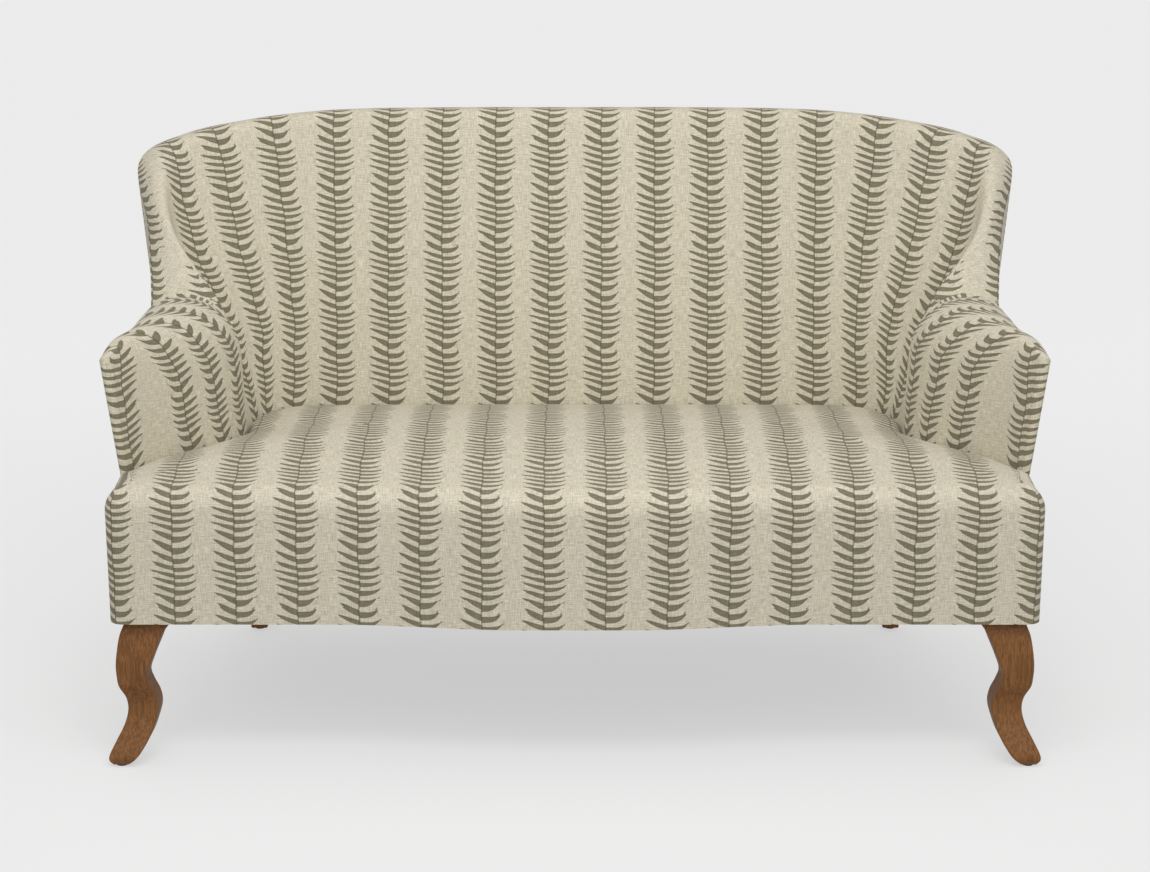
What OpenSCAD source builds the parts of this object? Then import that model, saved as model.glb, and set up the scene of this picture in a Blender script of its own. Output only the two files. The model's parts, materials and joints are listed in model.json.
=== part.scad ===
// High back settee: a tub of back, wings and rolled arms on a bowed seat, with cabriole front legs.
// X runs along the settee, the front faces -Y, Z is up and the feet stand at zero.
// Plan depths are measured from the front face of the seat and moved to the middle of the box.

/* [Seat] */
// Half width of the seat front, over its cover
seat_half_width = 735; // [700:1:780]
// Depth from the seat front to the foot of the inside back
seat_depth = 598; // [560:1:640]
// Height of the seat's edge, where the dome begins
seat_edge_height = 460; // [430:1:480]
// Rise of the dome over its edge
seat_crown = 30; // [15:1:45]
// Radius of the waterfall over the front edge
waterfall_radius = 40; // [30:1:45]
// Radius of the tuck along the arms and back
tuck_radius = 24; // [15:1:30]
// How far the front bows out in the middle
front_bow = 28; // [10:1:40]

/* [Back and arms] */
// Height of the rim in the middle of the back
back_height = 984; // [900:5:1060]
// How far the rim of the back lies behind its foot
back_lean = 107; // [80:1:130]
// How far the wings stand out past the seat
wing_overhang = 27; // [15:1:50]
// Height of the crest of the arms where they meet the wings
arm_height = 700; // [660:5:730]
// Height of the arm's roll above its straight inner face
arm_roll = 94; // [70:1:110]
// Height of the soft roll along the top of the back
rim_roll = 36; // [28:1:45]
// How far the bottom of the outside covers lies in from the seat's sides
foot_inset = 29; // [20:1:40]
// Depth of the body behind the seat, at its bottom
back_run = 140; // [125:1:150]
// Depth of the rim from its crest to the outside back
rim_depth = 68; // [55:1:80]

/* [Covers and padding] */
// Thickness of the woven cover with its wadding
cover_thickness = 2.5; // [2:0.1:3]
// Thickness of the back padding
back_padding = 46; // [38:1:50]
// Thickness of the padding on the arms
arm_padding = 38; // [30:1:42]
// Running clearance between soft pieces and their neighbours
clearance = 0.3; // [0.25:0.05:0.4]

/* [Frame] */
// Height of the legs, up to the bottom of the rails
leg_height = 238; // [200:1:260]
// Depth of the seat rails
rail_height = 92; // [80:1:98]
// Thickness of the rails
rail_thickness = 30; // [24:1:34]
// Thickness of the upright formers, along the rim
former_thickness = 24; // [18:1:30]
// How far the top rails reach below the roll of the rim
top_rail_drop = 18; // [10:1:26]
// Width of a sprung strand over its bends
spring_width = 52; // [40:1:60]
// Thickness of the spring wire
spring_wire = 3.6; // [3:0.1:4]
// Distance between the sinuous springs
spring_pitch = 150; // [145:1:155]
// Thickness of the webbing and the spring cloth
webbing_thickness = 1.6; // [1.2:0.1:2]
// Thickness of the felt over the front rail
front_pad = 8; // [5:0.5:10]

/* [Legs] */
// Width of the blank that the front legs are cut from
leg_blank = 104; // [96:1:110]
// How far the toes of the front legs stand out past the seat's sides
toe_overhang = 8; // [4:1:14]
// How far the toes stand out in front of the seat's sides
toe_lead = 8; // [0:1:14]
// Width of the square rear legs at the top
rear_leg_width = 44; // [38:1:50]
// Width of the rear legs at the floor
rear_foot_width = 30; // [26:1:34]
// How far the rear feet lie in from the body's sides
rear_foot_inset = 106; // [86:1:130]
// Height of a glide under a leg
glide_height = 4; // [3:0.5:6]
// Diameter of the hanger bolts
bolt_diameter = 8; // [6:1:10]
// Length of the hanger bolts
bolt_length = 84; // [70:1:90]
// Distance of a front leg's bolt from the seat front
bolt_depth = 64; // [60:1:70]

/* [Hidden] */

// Stations run from the middle of the back (1) over the wing (6) and the tuck (8) to the front of the
// arm (13). Station 0 mirrors station 2, so that the curves cross the middle smoothly.
base_x_shares = [-0.3, 0, 0.3, 0.561, 0.673, 0.722, 0.74, 0.752, 0.761, 0.777, 0.818, 0.876, 0.932, 0.962];
base_y_shares = [1, 1, 1, 0.998, 0.977, 0.911, 0.836, 0.769, 0.711, 0.619, 0.527, 0.431, 0.334, 0.234];
crest_x_shares = [-0.284, 0, 0.284, 0.55, 0.736, 0.886, 0.965, 0.945, 0.881, 0.877, 0.89, 0.913, 0.95, 0.974];
crest_y_shares = [0.997, 1, 0.997, 0.979, 0.939, 0.88, 0.806, 0.695, 0.603, 0.525, 0.44, 0.355, 0.277, 0.203];
rise_shares = [1, 1, 1, 0.991, 0.947, 0.867, 0.73, 0.362, 0, -0.028, -0.055, -0.1, -0.135, -0.195];
edge_x_shares = [-0.29, 0, 0.29, 0.567, 0.767, 0.937, 1.014, 0.978, 0.957, 0.957, 0.957, 0.963, 0.985, 0.994];
edge_y_shares = [0.997, 1, 0.997, 0.977, 0.932, 0.862, 0.781, 0.671, 0.557, 0.477, 0.4, 0.323, 0.252, 0.181];
edge_drop_shares = [0.5, 0.5, 0.5, 0.5, 0.47, 0.47, 0.36, 0.4, 1, 0.89, 0.69, 0.5, 0.36, 0.35];
foot_x_shares = [-0.3, 0, 0.3, 0.609, 0.8, 0.94, 1, 1, 1, 1, 1, 1, 1, 1];
foot_y_shares = [1, 1, 1, 0.995, 0.955, 0.865, 0.75, 0.66, 0.576, 0.496, 0.418, 0.337, 0.262, 0.188];
spring_place_shares = [0.8, 0.8, 0.8, 0.82, 0.84, 0.86, 0.86, 0.74, 0.14, 0.12, 0.14, 0.2, 0.32, 0.75];
roll_shares = [0, 0, 0, 0, 0, 0, 0.05, 0.35, 1, 0.95, 0.9, 0.84, 0.78, 0.2];
flare_shares = [0, 0, 0, 0, 0.1, 0.3, 0.7, 1, 0, 0, 0, 0, 0, 0];
bulge_shares = [1, 1, 1, 1, 0.9, 0.6, 0.2, 0, 0, 0, 0, 0, 0, 0];
first_station_share = 1;
wing_station_share = 6;
tuck_station_share = 8;
nose_station_share = 12;
last_station_share = 13;
joint_share = 0.006;
half_turn_angle = 180;
quarter_turn_angle = 90;

// Bulge of the back over its straight chord, drop from a crest to the outer edge, and the pull at the tuck
back_bulge = 14;
edge_drop = 36;
tuck_sink = 7;
tuck_reach_share = 0.5;
// Padding over the rim, over the arm's roll and at the outer edge
rim_padding = 13;
arm_top_padding = 22;
edge_padding = 4;
nose_padding_share = 0.16;
core_crest_share = 0.35;
face_padding_share = 0.8;
// Sizes of small frame pieces that follow the rails
centre_rail_height = 62;
block_length = 72;
block_width = 60;
heel_height = 9;
heel_slope = 34;
rear_leg_rake = 50;
spring_bend_count = 10;
spring_bite = 14;
clip_length = 20;
clip_thickness = 1.6;
rail_corner = 20;
bore_clearance = 0.3;
dust_thickness = 1;
dust_inset = 12;
leg_notch = 3;
glide_width = 18;
bow_flat_share = 0.11;
bow_end_share = 0.52;
seat_corner = 24;
ear_gap = 2;
seat_tuck_height = 26;
nose_width = 15;
facet_margin = 0.4;
seat_gap = 3;
end_gap_share = 0.08;

wing_half_width = seat_half_width + wing_overhang;
foot_half_width = seat_half_width - foot_inset;
rear_foot_half_span = foot_half_width - rear_foot_inset;
foot_depth = seat_depth + back_run;
crest_depth = seat_depth + back_lean;
edge_depth = crest_depth + rim_depth;
rail_top = leg_height + rail_height;
cloth_bottom = rail_top + spring_wire + clearance;
base_height = cloth_bottom + webbing_thickness + 2 * clearance;
middle_y = (edge_depth - front_bow) / 2;
layer = cover_thickness + clearance;
rail_front = layer + front_pad + clearance;
rail_back = rail_front + rail_thickness;
rail_side = foot_half_width - layer;
overrun = 1;

function mix(a, b, t) = a + (b - a) * t;
function clamp01(t) = max(0, min(1, t));
function smooth(t) = let(c = clamp01(t)) c * c * (3 - 2 * c);
function unit(v) = v / norm(v);
function flip(p) = [-p[0], p[1], p[2]];
function curve4(a, b, c, d, t) =
  (2 * b + (c - a) * t + (2 * a - 5 * b + 4 * c - d) * t * t + (3 * b - a - 3 * c + d) * t * t * t) / 2;
function along(list, s) =
  let(last = len(list) - 1, i = max(0, min(floor(s), last - 1)))
  curve4(list[max(i - 1, 0)], list[i], list[i + 1], list[min(i + 2, last)], s - i);

// The tuck pulls the inside cover in where the arm meets the wing
function sink_at(s) = tuck_sink * (1 - smooth(abs(s - tuck_station_share) / tuck_reach_share));
function raw_base_at(s) = [
  along(base_x_shares, s) * seat_half_width,
  along(base_y_shares, s) * seat_depth,
  base_height
];
function raw_crest_at(s) = [
  along(crest_x_shares, s) * wing_half_width,
  along(crest_y_shares, s) * crest_depth,
  arm_height + along(rise_shares, s) * (back_height - arm_height)
];
function out_at(s) = let(b = raw_base_at(s), c = raw_crest_at(s)) unit([c[0] - b[0], c[1] - b[1], 0]);
function base_at(s) = raw_base_at(s) + out_at(s) * sink_at(s);
function crest_at(s) = raw_crest_at(s) - [0, 0, sink_at(s)];
function edge_at(s) = [
  along(edge_x_shares, s) * wing_half_width,
  along(edge_y_shares, s) * edge_depth,
  raw_crest_at(s)[2] - along(edge_drop_shares, s) * edge_drop
];
function foot_at(s) = [
  along(foot_x_shares, s) * foot_half_width,
  along(foot_y_shares, s) * foot_depth,
  leg_height
];
function roll_at(s) = rim_roll + along(roll_shares, s) * (arm_roll - rim_roll);
function spring_at(s) =
  let(b = base_at(s), c = crest_at(s), k = along(spring_place_shares, s))
  [mix(b[0], c[0], k), mix(b[1], c[1], k), c[2] - roll_at(s)];

// A section through its four points: the face up to 3, the roll up to 4 and over to the outer edge at 5
function section(b, p, c, e, q, v) =
  v <= 3
    ? let(t = v / 3, h = mix(t, smooth(t), q)) [mix(b[0], p[0], h), mix(b[1], p[1], h), mix(b[2], p[2], t)]
    : v <= 4
      ? let(a = quarter_turn_angle * (v - 3))
        [mix(p[0], c[0], 1 - cos(a)), mix(p[1], c[1], 1 - cos(a)), mix(p[2], c[2], sin(a))]
      : let(a = quarter_turn_angle * (v - 4))
        [mix(c[0], e[0], sin(a)), mix(c[1], e[1], sin(a)), mix(e[2], c[2], cos(a))];
function inside_at(s, v) =
  section(base_at(s), spring_at(s), crest_at(s), edge_at(s), along(flare_shares, s), v)
  - out_at(s) * (v < 3 ? back_bulge * along(bulge_shares, s) * sin(half_turn_angle * v / 3) : 0);

nudge_share = 0.02;
function inside_normal(s, v) =
  let(s0 = max(s - nudge_share, 0), s1 = min(s + nudge_share, last_station_share),
      v0 = max(v - nudge_share, 0), v1 = min(v + nudge_share, 5))
  unit(cross(inside_at(s1, v) - inside_at(s0, v), inside_at(s, v1) - inside_at(s, v0)));
function inside_layer(s, v, depth) = inside_at(s, v) - inside_normal(s, v) * depth;
function level_of(s, z) =
  let(b = base_at(s), p = spring_at(s)) 3 * (z - b[2]) / (p[2] - b[2]);

// The padding's inner side, or a layer that lies 'extra' deeper
function nose_at(s) =
  let(start = nose_station_share - 2)
  mix(1, nose_padding_share, clamp01((s - start) / (last_station_share - start)));
function by_arm(a, b, s) = mix(a, b, smooth((s - wing_station_share) / 2)) * nose_at(s);
function core_at(s, v, extra) =
  let(o = out_at(s), c = crest_at(s), e = edge_at(s),
      pad = by_arm(back_padding, arm_padding, s) + layer + extra,
      top = by_arm(rim_padding, arm_top_padding, s) + layer + extra,
      rim = edge_padding * nose_at(s) + layer + extra,
      m = mix(c, e, core_crest_share))
  section(
    base_at(s) + o * pad,
    spring_at(s) + o * mix(layer + extra, pad, face_padding_share),
    [m[0], m[1], c[2] - top],
    e - o * rim - [0, 0, rim],
    along(flare_shares, s), v);
function rail_level(s) =
  let(b = base_at(s), p = spring_at(s)) 3 * (p[2] - top_rail_drop - b[2]) / (p[2] - b[2]);

// The outside surface at a height, and a layer under it
function outside_at(s, z) = let(e = edge_at(s), f = foot_at(s)) mix(e, f, (e[2] - z) / (e[2] - f[2]));
function outside_normal(s, z) =
  let(s0 = max(s - nudge_share, 0), s1 = min(s + nudge_share, last_station_share),
      d = outside_at(s1, z) - outside_at(s0, z))
  unit([d[1], -d[0], 0]);
function outside_layer(s, z, depth) = outside_at(s, z) + outside_normal(s, z) * depth;

// Rows of every layer, with those of the webbing bands among them, and the columns that all layers share
face_level_shares = [0, 0.75, 1, 1.75, 2, 3, 3.35, 3.7, 4, 4.35, 4.7, 5];
web_band_shares = [[0.75, 1], [1.75, 2]];
function former_share(s) = min(0.42, former_thickness / norm(edge_at(s + 1) - edge_at(s)));
back_former_shares = [2.5, 4];
wing_former_share = 6;
arm_former_shares = [tuck_station_share + joint_share, 9.5, 11];
all_former_shares = concat(back_former_shares, [wing_former_share], arm_former_shares);
function has_former(s) = len([for (f = all_former_shares) if (f == s) f]) > 0;
function with_former(s) = has_former(s) ? [s, s + former_share(s)] : [s];
back_column_shares = concat(
  [first_station_share, first_station_share + former_share(first_station_share) / 2],
  [for (i = [3 : 1 : 15]) each with_former(i / 2)],
  [tuck_station_share - joint_share]);
arm_column_shares = concat(
  with_former(tuck_station_share + joint_share),
  [for (i = [18 : 1 : 25]) each with_former(i / 2)],
  [last_station_share]);
// A point of the core between two of the rows, on the flat face that the padding has there
function row_under(v) =
  max([for (i = [0 : 1 : len(face_level_shares) - 2]) if (face_level_shares[i] <= v) i]);
function core_flat(s, v, extra) =
  let(i = row_under(max(v, 0)), a = face_level_shares[i], b = face_level_shares[i + 1])
  mix(core_at(s, a, extra), core_at(s, b, extra), (v - a) / (b - a));
function between(list, a, b) = [for (s = list) if (s >= a && s <= b) s];
function backwards(list) = [for (i = [len(list) - 1 : -1 : 0]) list[i]];
function whole(columns) =
  concat([for (i = [len(columns) - 1 : -1 : 1]) [for (p = columns[i]) flip(p)]], columns);

module here() { translate([0, -middle_y, 0]) children(); }
module sides() { for (m = [0, 1]) mirror([m, 0, 0]) children(); }
module left() { mirror([1, 0, 0]) children(); }

// A closed sheet between a front grid of points and a back grid. The first half of a mirrored one
// has its facets turned over, as in a glass
function cell(p, q, r, t, glass) = glass ? [[p, q, r], [q, t, r]] : [[p, t, r], [p, q, t]];
function turned(p, q, r, t, glass) = glass ? [[p, r, q], [q, r, t]] : [[p, r, t], [p, t, q]];
module thick(front, back, mirrored = false) {
  n = len(front);
  m = len(front[0]);
  k = n * m;
  half = mirrored ? (n - 1) / 2 : 0;
  faces = concat(
    [for (i = [0 : 1 : n - 2]) for (j = [0 : 1 : m - 2]) let(a = i * m + j, b = a + m) each concat(
      cell(a, a + 1, b, b + 1, i < half), turned(k + a, k + a + 1, k + b, k + b + 1, i < half))],
    [for (i = [0 : 1 : n - 2]) let(a = i * m, b = a + m, c = a + m - 1, d = b + m - 1) each concat(
      turned(a, k + a, b, k + b, i < half), cell(c, k + c, d, k + d, i < half))],
    [for (j = [0 : 1 : m - 2]) let(a = j, c = (n - 1) * m + j) each [
      [a, k + a + 1, a + 1], [a, k + a, k + a + 1], [c, c + 1, k + c + 1], [c, k + c + 1, k + c]
    ]]
  );
  polyhedron(
    points = concat([for (r = front) each r], [for (r = back) each r]),
    faces = faces, convexity = 6);
}

// Rings closed by a middle point at the top, and at the bottom by a flat face or by an inner skin
module domed(rings, top) {
  n = len(rings);
  m = len(rings[0]);
  faces = concat(
    [for (i = [0 : 1 : n - 2]) for (j = [0 : 1 : m - 1]) let(a = i * m + j, b = i * m + (j + 1) % m) each [
      [a, b + m, b], [a, a + m, b + m]
    ]],
    [for (j = [0 : 1 : m - 1]) [(n - 1) * m + j, n * m, (n - 1) * m + (j + 1) % m]],
    [[for (j = [0 : 1 : m - 1]) j]]
  );
  polyhedron(points = concat([for (r = rings) each r], [top]), faces = faces, convexity = 4);
}
module domed_skin(outer, inner, top, under) {
  n = len(outer);
  m = len(outer[0]);
  k = n * m + 1;
  faces = concat(
    [for (i = [0 : 1 : n - 2]) for (j = [0 : 1 : m - 1]) let(a = i * m + j, b = i * m + (j + 1) % m) each [
      [a, b + m, b], [a, a + m, b + m], [k + a, k + b, k + b + m], [k + a, k + b + m, k + a + m]
    ]],
    [for (j = [0 : 1 : m - 1]) let(a = (n - 1) * m + j, b = (n - 1) * m + (j + 1) % m) each [
      [a, n * m, b], [k + a, k + b, k + n * m]
    ]],
    [for (j = [0 : 1 : m - 1]) let(b = (j + 1) % m) each [[j, k + b, k + j], [j, b, k + b]]]
  );
  polyhedron(
    points = concat([for (r = outer) each r], [top], [for (r = inner) each r], [under]),
    faces = faces, convexity = 6);
}

// Seat: an outline that follows the inside covers and passes in front of the arms
function bow_at(x) =
  -front_bow * (1 - smooth((abs(x) / seat_half_width - bow_flat_share) / (bow_end_share - bow_flat_share)));
seat_station_shares = [1, 2, 3, 4, 5, 6, 7, 8, 9, 10, 11, 12, 13];
front_x_shares = [0.86, 0.68, 0.52, 0.42, 0.33, 0.24, 0.14, 0];
corner_angles = [0, 30, 60, 90];
function seat_point(s, z, inset) =
  s < last_station_share
    ? let(p = inside_layer(s, level_of(s, z), -seat_gap - inset) - out_at(s) * sink_at(s))
      [p[0], p[1], z]
    : let(p = inside_at(s, level_of(s, z)))
      [p[0] - clearance - inset, p[1] - ear_gap - inset, z];
function ear_back() = inside_at(last_station_share, 0)[1] - ear_gap;
function front_points(z, inset) = concat(
  [[seat_half_width - seat_corner / 2, ear_back() - inset, z]],
  [[seat_half_width - inset, ear_back() - seat_corner / 2, z]],
  [for (a = corner_angles) let(r = seat_corner - inset)
    [seat_half_width - seat_corner + r * cos(a), seat_corner - r * sin(a), z]],
  [for (k = front_x_shares) [k * seat_half_width, bow_at(k * seat_half_width) + inset, z]]
);
station_count = len(seat_station_shares);
front_count = 2 + len(corner_angles) + len(front_x_shares);
half_count = station_count + front_count;
function outline_point(i, z, inset) =
  i < station_count
    ? seat_point(seat_station_shares[i], z, inset)
    : front_points(z, inset)[i - station_count];
function half_outline(z, inset) = [for (i = [0 : 1 : half_count - 1]) outline_point(i, z, inset)];
function seat_radius(i) =
  i < station_count
    ? tuck_radius
    : mix(tuck_radius, waterfall_radius, clamp01((i - station_count + 1) / 3));
function arc_point(i, angle, e) =
  let(r = seat_radius(i))
  outline_point(i, seat_edge_height - r + (r - e) * sin(angle), e + (r - e) * (1 - cos(angle)));
seat_middle_share = 0.52;
seat_heart_share = 0.5;
function dome_point(i, k, e) =
  let(p = arc_point(i, quarter_turn_angle, e),
      c = [p[0] * seat_heart_share, seat_depth * seat_middle_share, 0])
  [mix(p[0], c[0], k), mix(p[1], c[1], k), p[2] + seat_crown * (1 - (1 - k) * (1 - k))];
// Half rings run from the middle of the back to the middle of the front, and are mirrored into whole rings
function closed(half) = concat(backwards(half), [for (i = [1 : 1 : half_count - 2]) flip(half[i])]);
function low_point(i, e) =
  outline_point(i, i < station_count ? base_height + seat_tuck_height : leg_height, e);
function low_ring(e) = closed([for (i = [0 : 1 : half_count - 1]) low_point(i, e)]);
arc_angles = [0, 35, 65, 90];
dome_step_shares = [0.3, 0.62, 0.86];
function seat_rings(e) = concat(
  [for (a = arc_angles) closed([for (i = [0 : 1 : half_count - 1]) arc_point(i, a, e)])],
  [for (k = dome_step_shares) closed([for (i = [0 : 1 : half_count - 1]) dome_point(i, k, e)])]
);
function seat_top(e) = [0, seat_depth * seat_middle_share, seat_edge_height - e + seat_crown];

module seat_cover() color("wheat") here()
  domed_skin(
    concat([low_ring(0)], seat_rings(0)),
    concat([low_ring(cover_thickness)], seat_rings(cover_thickness)),
    seat_top(0), seat_top(cover_thickness));
module seat_foam() color("khaki") here()
  domed(
    concat(
      [closed(half_outline(base_height, layer + facet_margin))],
      [closed(half_outline(base_height + seat_tuck_height, layer + facet_margin))],
      seat_rings(layer + facet_margin)),
    seat_top(layer + facet_margin));

// Inside covers and their padding
function face_grid(columns) = [for (s = columns) [for (v = face_level_shares) inside_at(s, v)]];
function layer_grid(columns, depth) =
  [for (s = columns) [for (v = face_level_shares) inside_layer(s, v, depth)]];
function core_grid(columns) = [for (s = columns) [for (v = face_level_shares) core_at(s, v, 0)]];
module inside_back_cover() color("wheat") here()
  thick(
    whole(face_grid(back_column_shares)),
    whole(layer_grid(back_column_shares, cover_thickness)), mirrored = true);
module back_foam() color("khaki") here()
  thick(
    whole(layer_grid(back_column_shares, layer)),
    whole(core_grid(back_column_shares)), mirrored = true);
module arm_cover() {
  thick(face_grid(arm_column_shares), layer_grid(arm_column_shares, cover_thickness));
}
module arm_foam() {
  columns = concat(
    between(arm_column_shares, tuck_station_share, nose_station_share + 0.5),
    [last_station_share - end_gap_share]);
  thick(layer_grid(columns, layer), core_grid(columns));
}
module right_inside_arm_cover() color("wheat") here() arm_cover();
module left_inside_arm_cover() color("wheat") here() left() arm_cover();
module right_arm_foam() color("khaki") here() arm_foam();
module left_arm_foam() color("khaki") here() left() arm_foam();

// Outside covers
outside_level_shares = [0, 0.34, 0.67, 1];
outer_back_shares = between(back_column_shares, first_station_share, wing_station_share);
outer_arm_shares = concat(
  [wing_station_share + joint_share, wing_station_share + former_share(wing_station_share)],
  between(back_column_shares, wing_station_share + 0.5, tuck_station_share), arm_column_shares);
function outside_z(s, t) = mix(leg_height, edge_at(s)[2] - 2 * clearance, t);
function outer_grid(columns, depth) =
  [for (s = columns) [for (t = outside_level_shares) outside_layer(s, outside_z(s, t), depth)]];
module outside_back_cover() color("tan") here()
  thick(
    whole(outer_grid(outer_back_shares, cover_thickness)),
    whole(outer_grid(outer_back_shares, 0)), mirrored = true);
// The outside arm cover turns over the front edge of the arm and ends at the inside cover
function nose_point(t, deep) =
  let(z = outside_z(last_station_share, t),
      o = outside_at(last_station_share, z),
      v = level_of(last_station_share, z),
      a = v > 3 ? crest_at(last_station_share)[0] : inside_at(last_station_share, max(v, 0))[0],
      x = max(a + 2 * cover_thickness, o[0] - nose_width))
  [min(x, o[0] - cover_thickness - clearance), o[1] + deep, z];
function mitred(column) = [for (p = column) p + [0, cover_thickness, 0]];
module outside_arm_cover() {
  inner = outer_grid(outer_arm_shares, cover_thickness);
  last = len(inner) - 1;
  thick(
    concat(
      [for (i = [0 : 1 : last - 1]) inner[i]],
      [mitred(inner[last]), [for (t = outside_level_shares) nose_point(t, cover_thickness)]]),
    concat(outer_grid(outer_arm_shares, 0), [[for (t = outside_level_shares) nose_point(t, 0)]]));
}
module right_outside_arm_cover() color("tan") here() outside_arm_cover();
module left_outside_arm_cover() color("tan") here() left() outside_arm_cover();

// Frame over the rails: top rails and upright formers between the padding and the outside covers
behind = clearance * 2 + webbing_thickness;
frame_layer = layer + facet_margin;
roll_level_shares = [3, 3.35, 3.7, 4, 4.35, 4.7, 5];
rail_room = 3 * clearance;
function top_rail_column(s) = concat(
  [core_flat(s, rail_level(s), rail_room)],
  [for (v = roll_level_shares) core_at(s, v, rail_room)]);
function top_rail_back(s) =
  let(z0 = core_flat(s, rail_level(s), clearance)[2],
      z1 = core_at(s, 5, clearance)[2],
      n = len(roll_level_shares))
  [for (i = [0 : 1 : n]) outside_layer(s, mix(z0, z1, i / n), frame_layer)];
module top_rail(columns) {
  thick([for (s = columns) top_rail_column(s)], [for (s = columns) top_rail_back(s)]);
}
rail_seam_share = 5;
back_rail_shares = between(back_column_shares, first_station_share, rail_seam_share);
wing_rail_shares = concat(
  [rail_seam_share + joint_share],
  between(back_column_shares, rail_seam_share + joint_share, tuck_station_share));
arm_rail_shares = between(arm_column_shares, tuck_station_share, nose_station_share + 0.5);
module back_top_rail() color("burlywood") here()
  thick(
    whole([for (s = back_rail_shares) top_rail_column(s)]),
    whole([for (s = back_rail_shares) top_rail_back(s)]), mirrored = true);
module wing_rail() { top_rail(wing_rail_shares); }
module right_wing_rail() color("burlywood") here() wing_rail();
module left_wing_rail() color("burlywood") here() left() wing_rail();
module arm_top_rail() { top_rail(arm_rail_shares); }
module right_arm_top_rail() color("burlywood") here() arm_top_rail();
module left_arm_top_rail() color("burlywood") here() left() arm_top_rail();

former_level_shares = [0.75, 1, 1.75, 2];
// A former stands on the rail with a heel and goes over to the padding's inner side where there is room
function former_front(s) =
  let(f = outside_layer(s, rail_top, layer + rail_thickness), low = core_flat(s, 0, behind),
      seated = s > tuck_station_share && low[0] > f[0] - heel_height,
      heel = seated ? base_height - 5 * clearance : rail_top + heel_height,
      v0 = seated ? 0 : level_of(s, rail_top + heel_height + heel_slope))
  concat(
    [[f[0], f[1], rail_top], [f[0], f[1], heel]],
    [core_flat(s, v0, behind) - [0, 0, seated ? 4 * clearance : 0]],
    [for (v = former_level_shares) core_at(s, v, behind)],
    [top_rail_column(s)[0] - [0, 0, clearance]]);
function former_back(s) = [for (p = former_front(s)) outside_layer(s, p[2], frame_layer)];

// Upright formers stand on the rails and carry the top rails
module former_from(s) {
  e = s + former_share(s);
  thick([former_front(s), former_front(e)], [former_back(s), former_back(e)]);
}
module middle_former() {
  e = first_station_share + former_share(first_station_share) / 2;
  front = former_front(e);
  back = former_back(e);
  thick([[for (p = front) flip(p)], front], [[for (p = back) flip(p)], back]);
}
module back_formers() color("burlywood") here() {
  middle_former();
  sides() for (s = back_former_shares) former_from(s);
}
module right_wing_former() color("burlywood") here() former_from(wing_former_share);
module left_wing_former() color("burlywood") here() left() former_from(wing_former_share);
module arm_formers() { for (s = arm_former_shares) former_from(s); }
module right_arm_formers() color("burlywood") here() arm_formers();
module left_arm_formers() color("burlywood") here() left() arm_formers();

// Seat rails
function rail_outline(s, inset) = let(p = outside_layer(s, leg_height, inset)) [p[0], p[1]];
corner_start_share = 3;
rear_line = rail_outline(corner_start_share, frame_layer)[1] - rail_thickness;
side_end = rail_outline(wing_station_share, frame_layer)[1];
side_inner = rail_side - rail_thickness;
front_rail_x_shares = [0.92, 0.68, 0.52, 0.42, 0.33, 0.24, 0.14];
front_rail_half = seat_half_width - layer - clearance;
function bow_point(x, depth) = [x, bow_at(x) + depth];
function front_line(depth, half) = concat(
  [bow_point(-half, depth)],
  [for (k = front_rail_x_shares) bow_point(-k * seat_half_width, depth)],
  [[0, depth - front_bow]],
  [for (k = backwards(front_rail_x_shares)) bow_point(k * seat_half_width, depth)],
  [bow_point(half, depth)]
);
module board(points, low, height) { translate([0, 0, low]) linear_extrude(height) polygon(points); }
module front_seat_rail() color("peru") here()
  board(
    concat(
      [[-front_rail_half, rail_back], [-front_rail_half, rail_front + rail_corner]],
      front_line(rail_front, front_rail_half - rail_corner),
      [[front_rail_half, rail_front + rail_corner], [front_rail_half, rail_back]]),
    leg_height, rail_height);
module front_rail_felt() color("gray") here() {
  half = front_rail_half - rail_corner;
  outer = front_line(layer, half);
  inner = front_line(layer + front_pad, half);
  board(concat(outer, backwards(inner)), leg_height, base_height - leg_height - clearance);
}
module side_bores() {
  translate([toe_side - bolt_inset, bolt_depth, leg_height - bolt_length / 2])
    cylinder(h = bolt_length, d = bolt_diameter + 2 * bore_clearance, $fn = 48);
}
module side_rail() {
  difference() {
    translate([side_inner, rail_back, leg_height]) cube([rail_thickness, side_end - rail_back, rail_height]);
    side_bores();
  }
}
module right_side_rail() color("peru") here() side_rail();
module left_side_rail() color("peru") here() left() side_rail();
module rear_bores() {
  translate([rear_foot_half_span, rear_top_depth, leg_height - bolt_length / 2])
    cylinder(h = bolt_length, d = bolt_diameter + 2 * bore_clearance, $fn = 48);
}
corner_curve_shares = backwards(between(back_column_shares, corner_start_share, wing_station_share));
corner_curve = [for (s = corner_curve_shares) rail_outline(s, frame_layer)];
corner_last = len(corner_curve) - 1;
corner_x = corner_curve[corner_last][0];
middle_curve_shares = backwards(between(back_column_shares, first_station_share, corner_start_share));
back_curve = [for (s = middle_curve_shares) rail_outline(s, frame_layer)];
back_x = back_curve[0][0];
module rear_corner_rails() color("peru") here() sides()
  difference() {
    board(
      concat([[side_inner, side_end]], corner_curve, [[corner_x, rear_line]]),
      leg_height, rail_height);
    rear_bores();
  }
module rear_seat_rail() color("peru") here()
  board(
    concat(
      [[back_x, rear_line]], back_curve,
      [for (i = [len(back_curve) - 2 : -1 : 0]) [-back_curve[i][0], back_curve[i][1]]],
      [[-back_x, rear_line]]),
    leg_height, rail_height);
module front_corner_blocks() color("sienna") here() sides()
  board(
    [
      [side_inner, rail_back],
      [side_inner, rail_back + block_length],
      [side_inner - block_width / 3, rail_back + block_length],
      [side_inner - block_width, rail_back + block_length / 3],
      [side_inner - block_width, rail_back]
    ],
    leg_height, rail_height);
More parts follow.
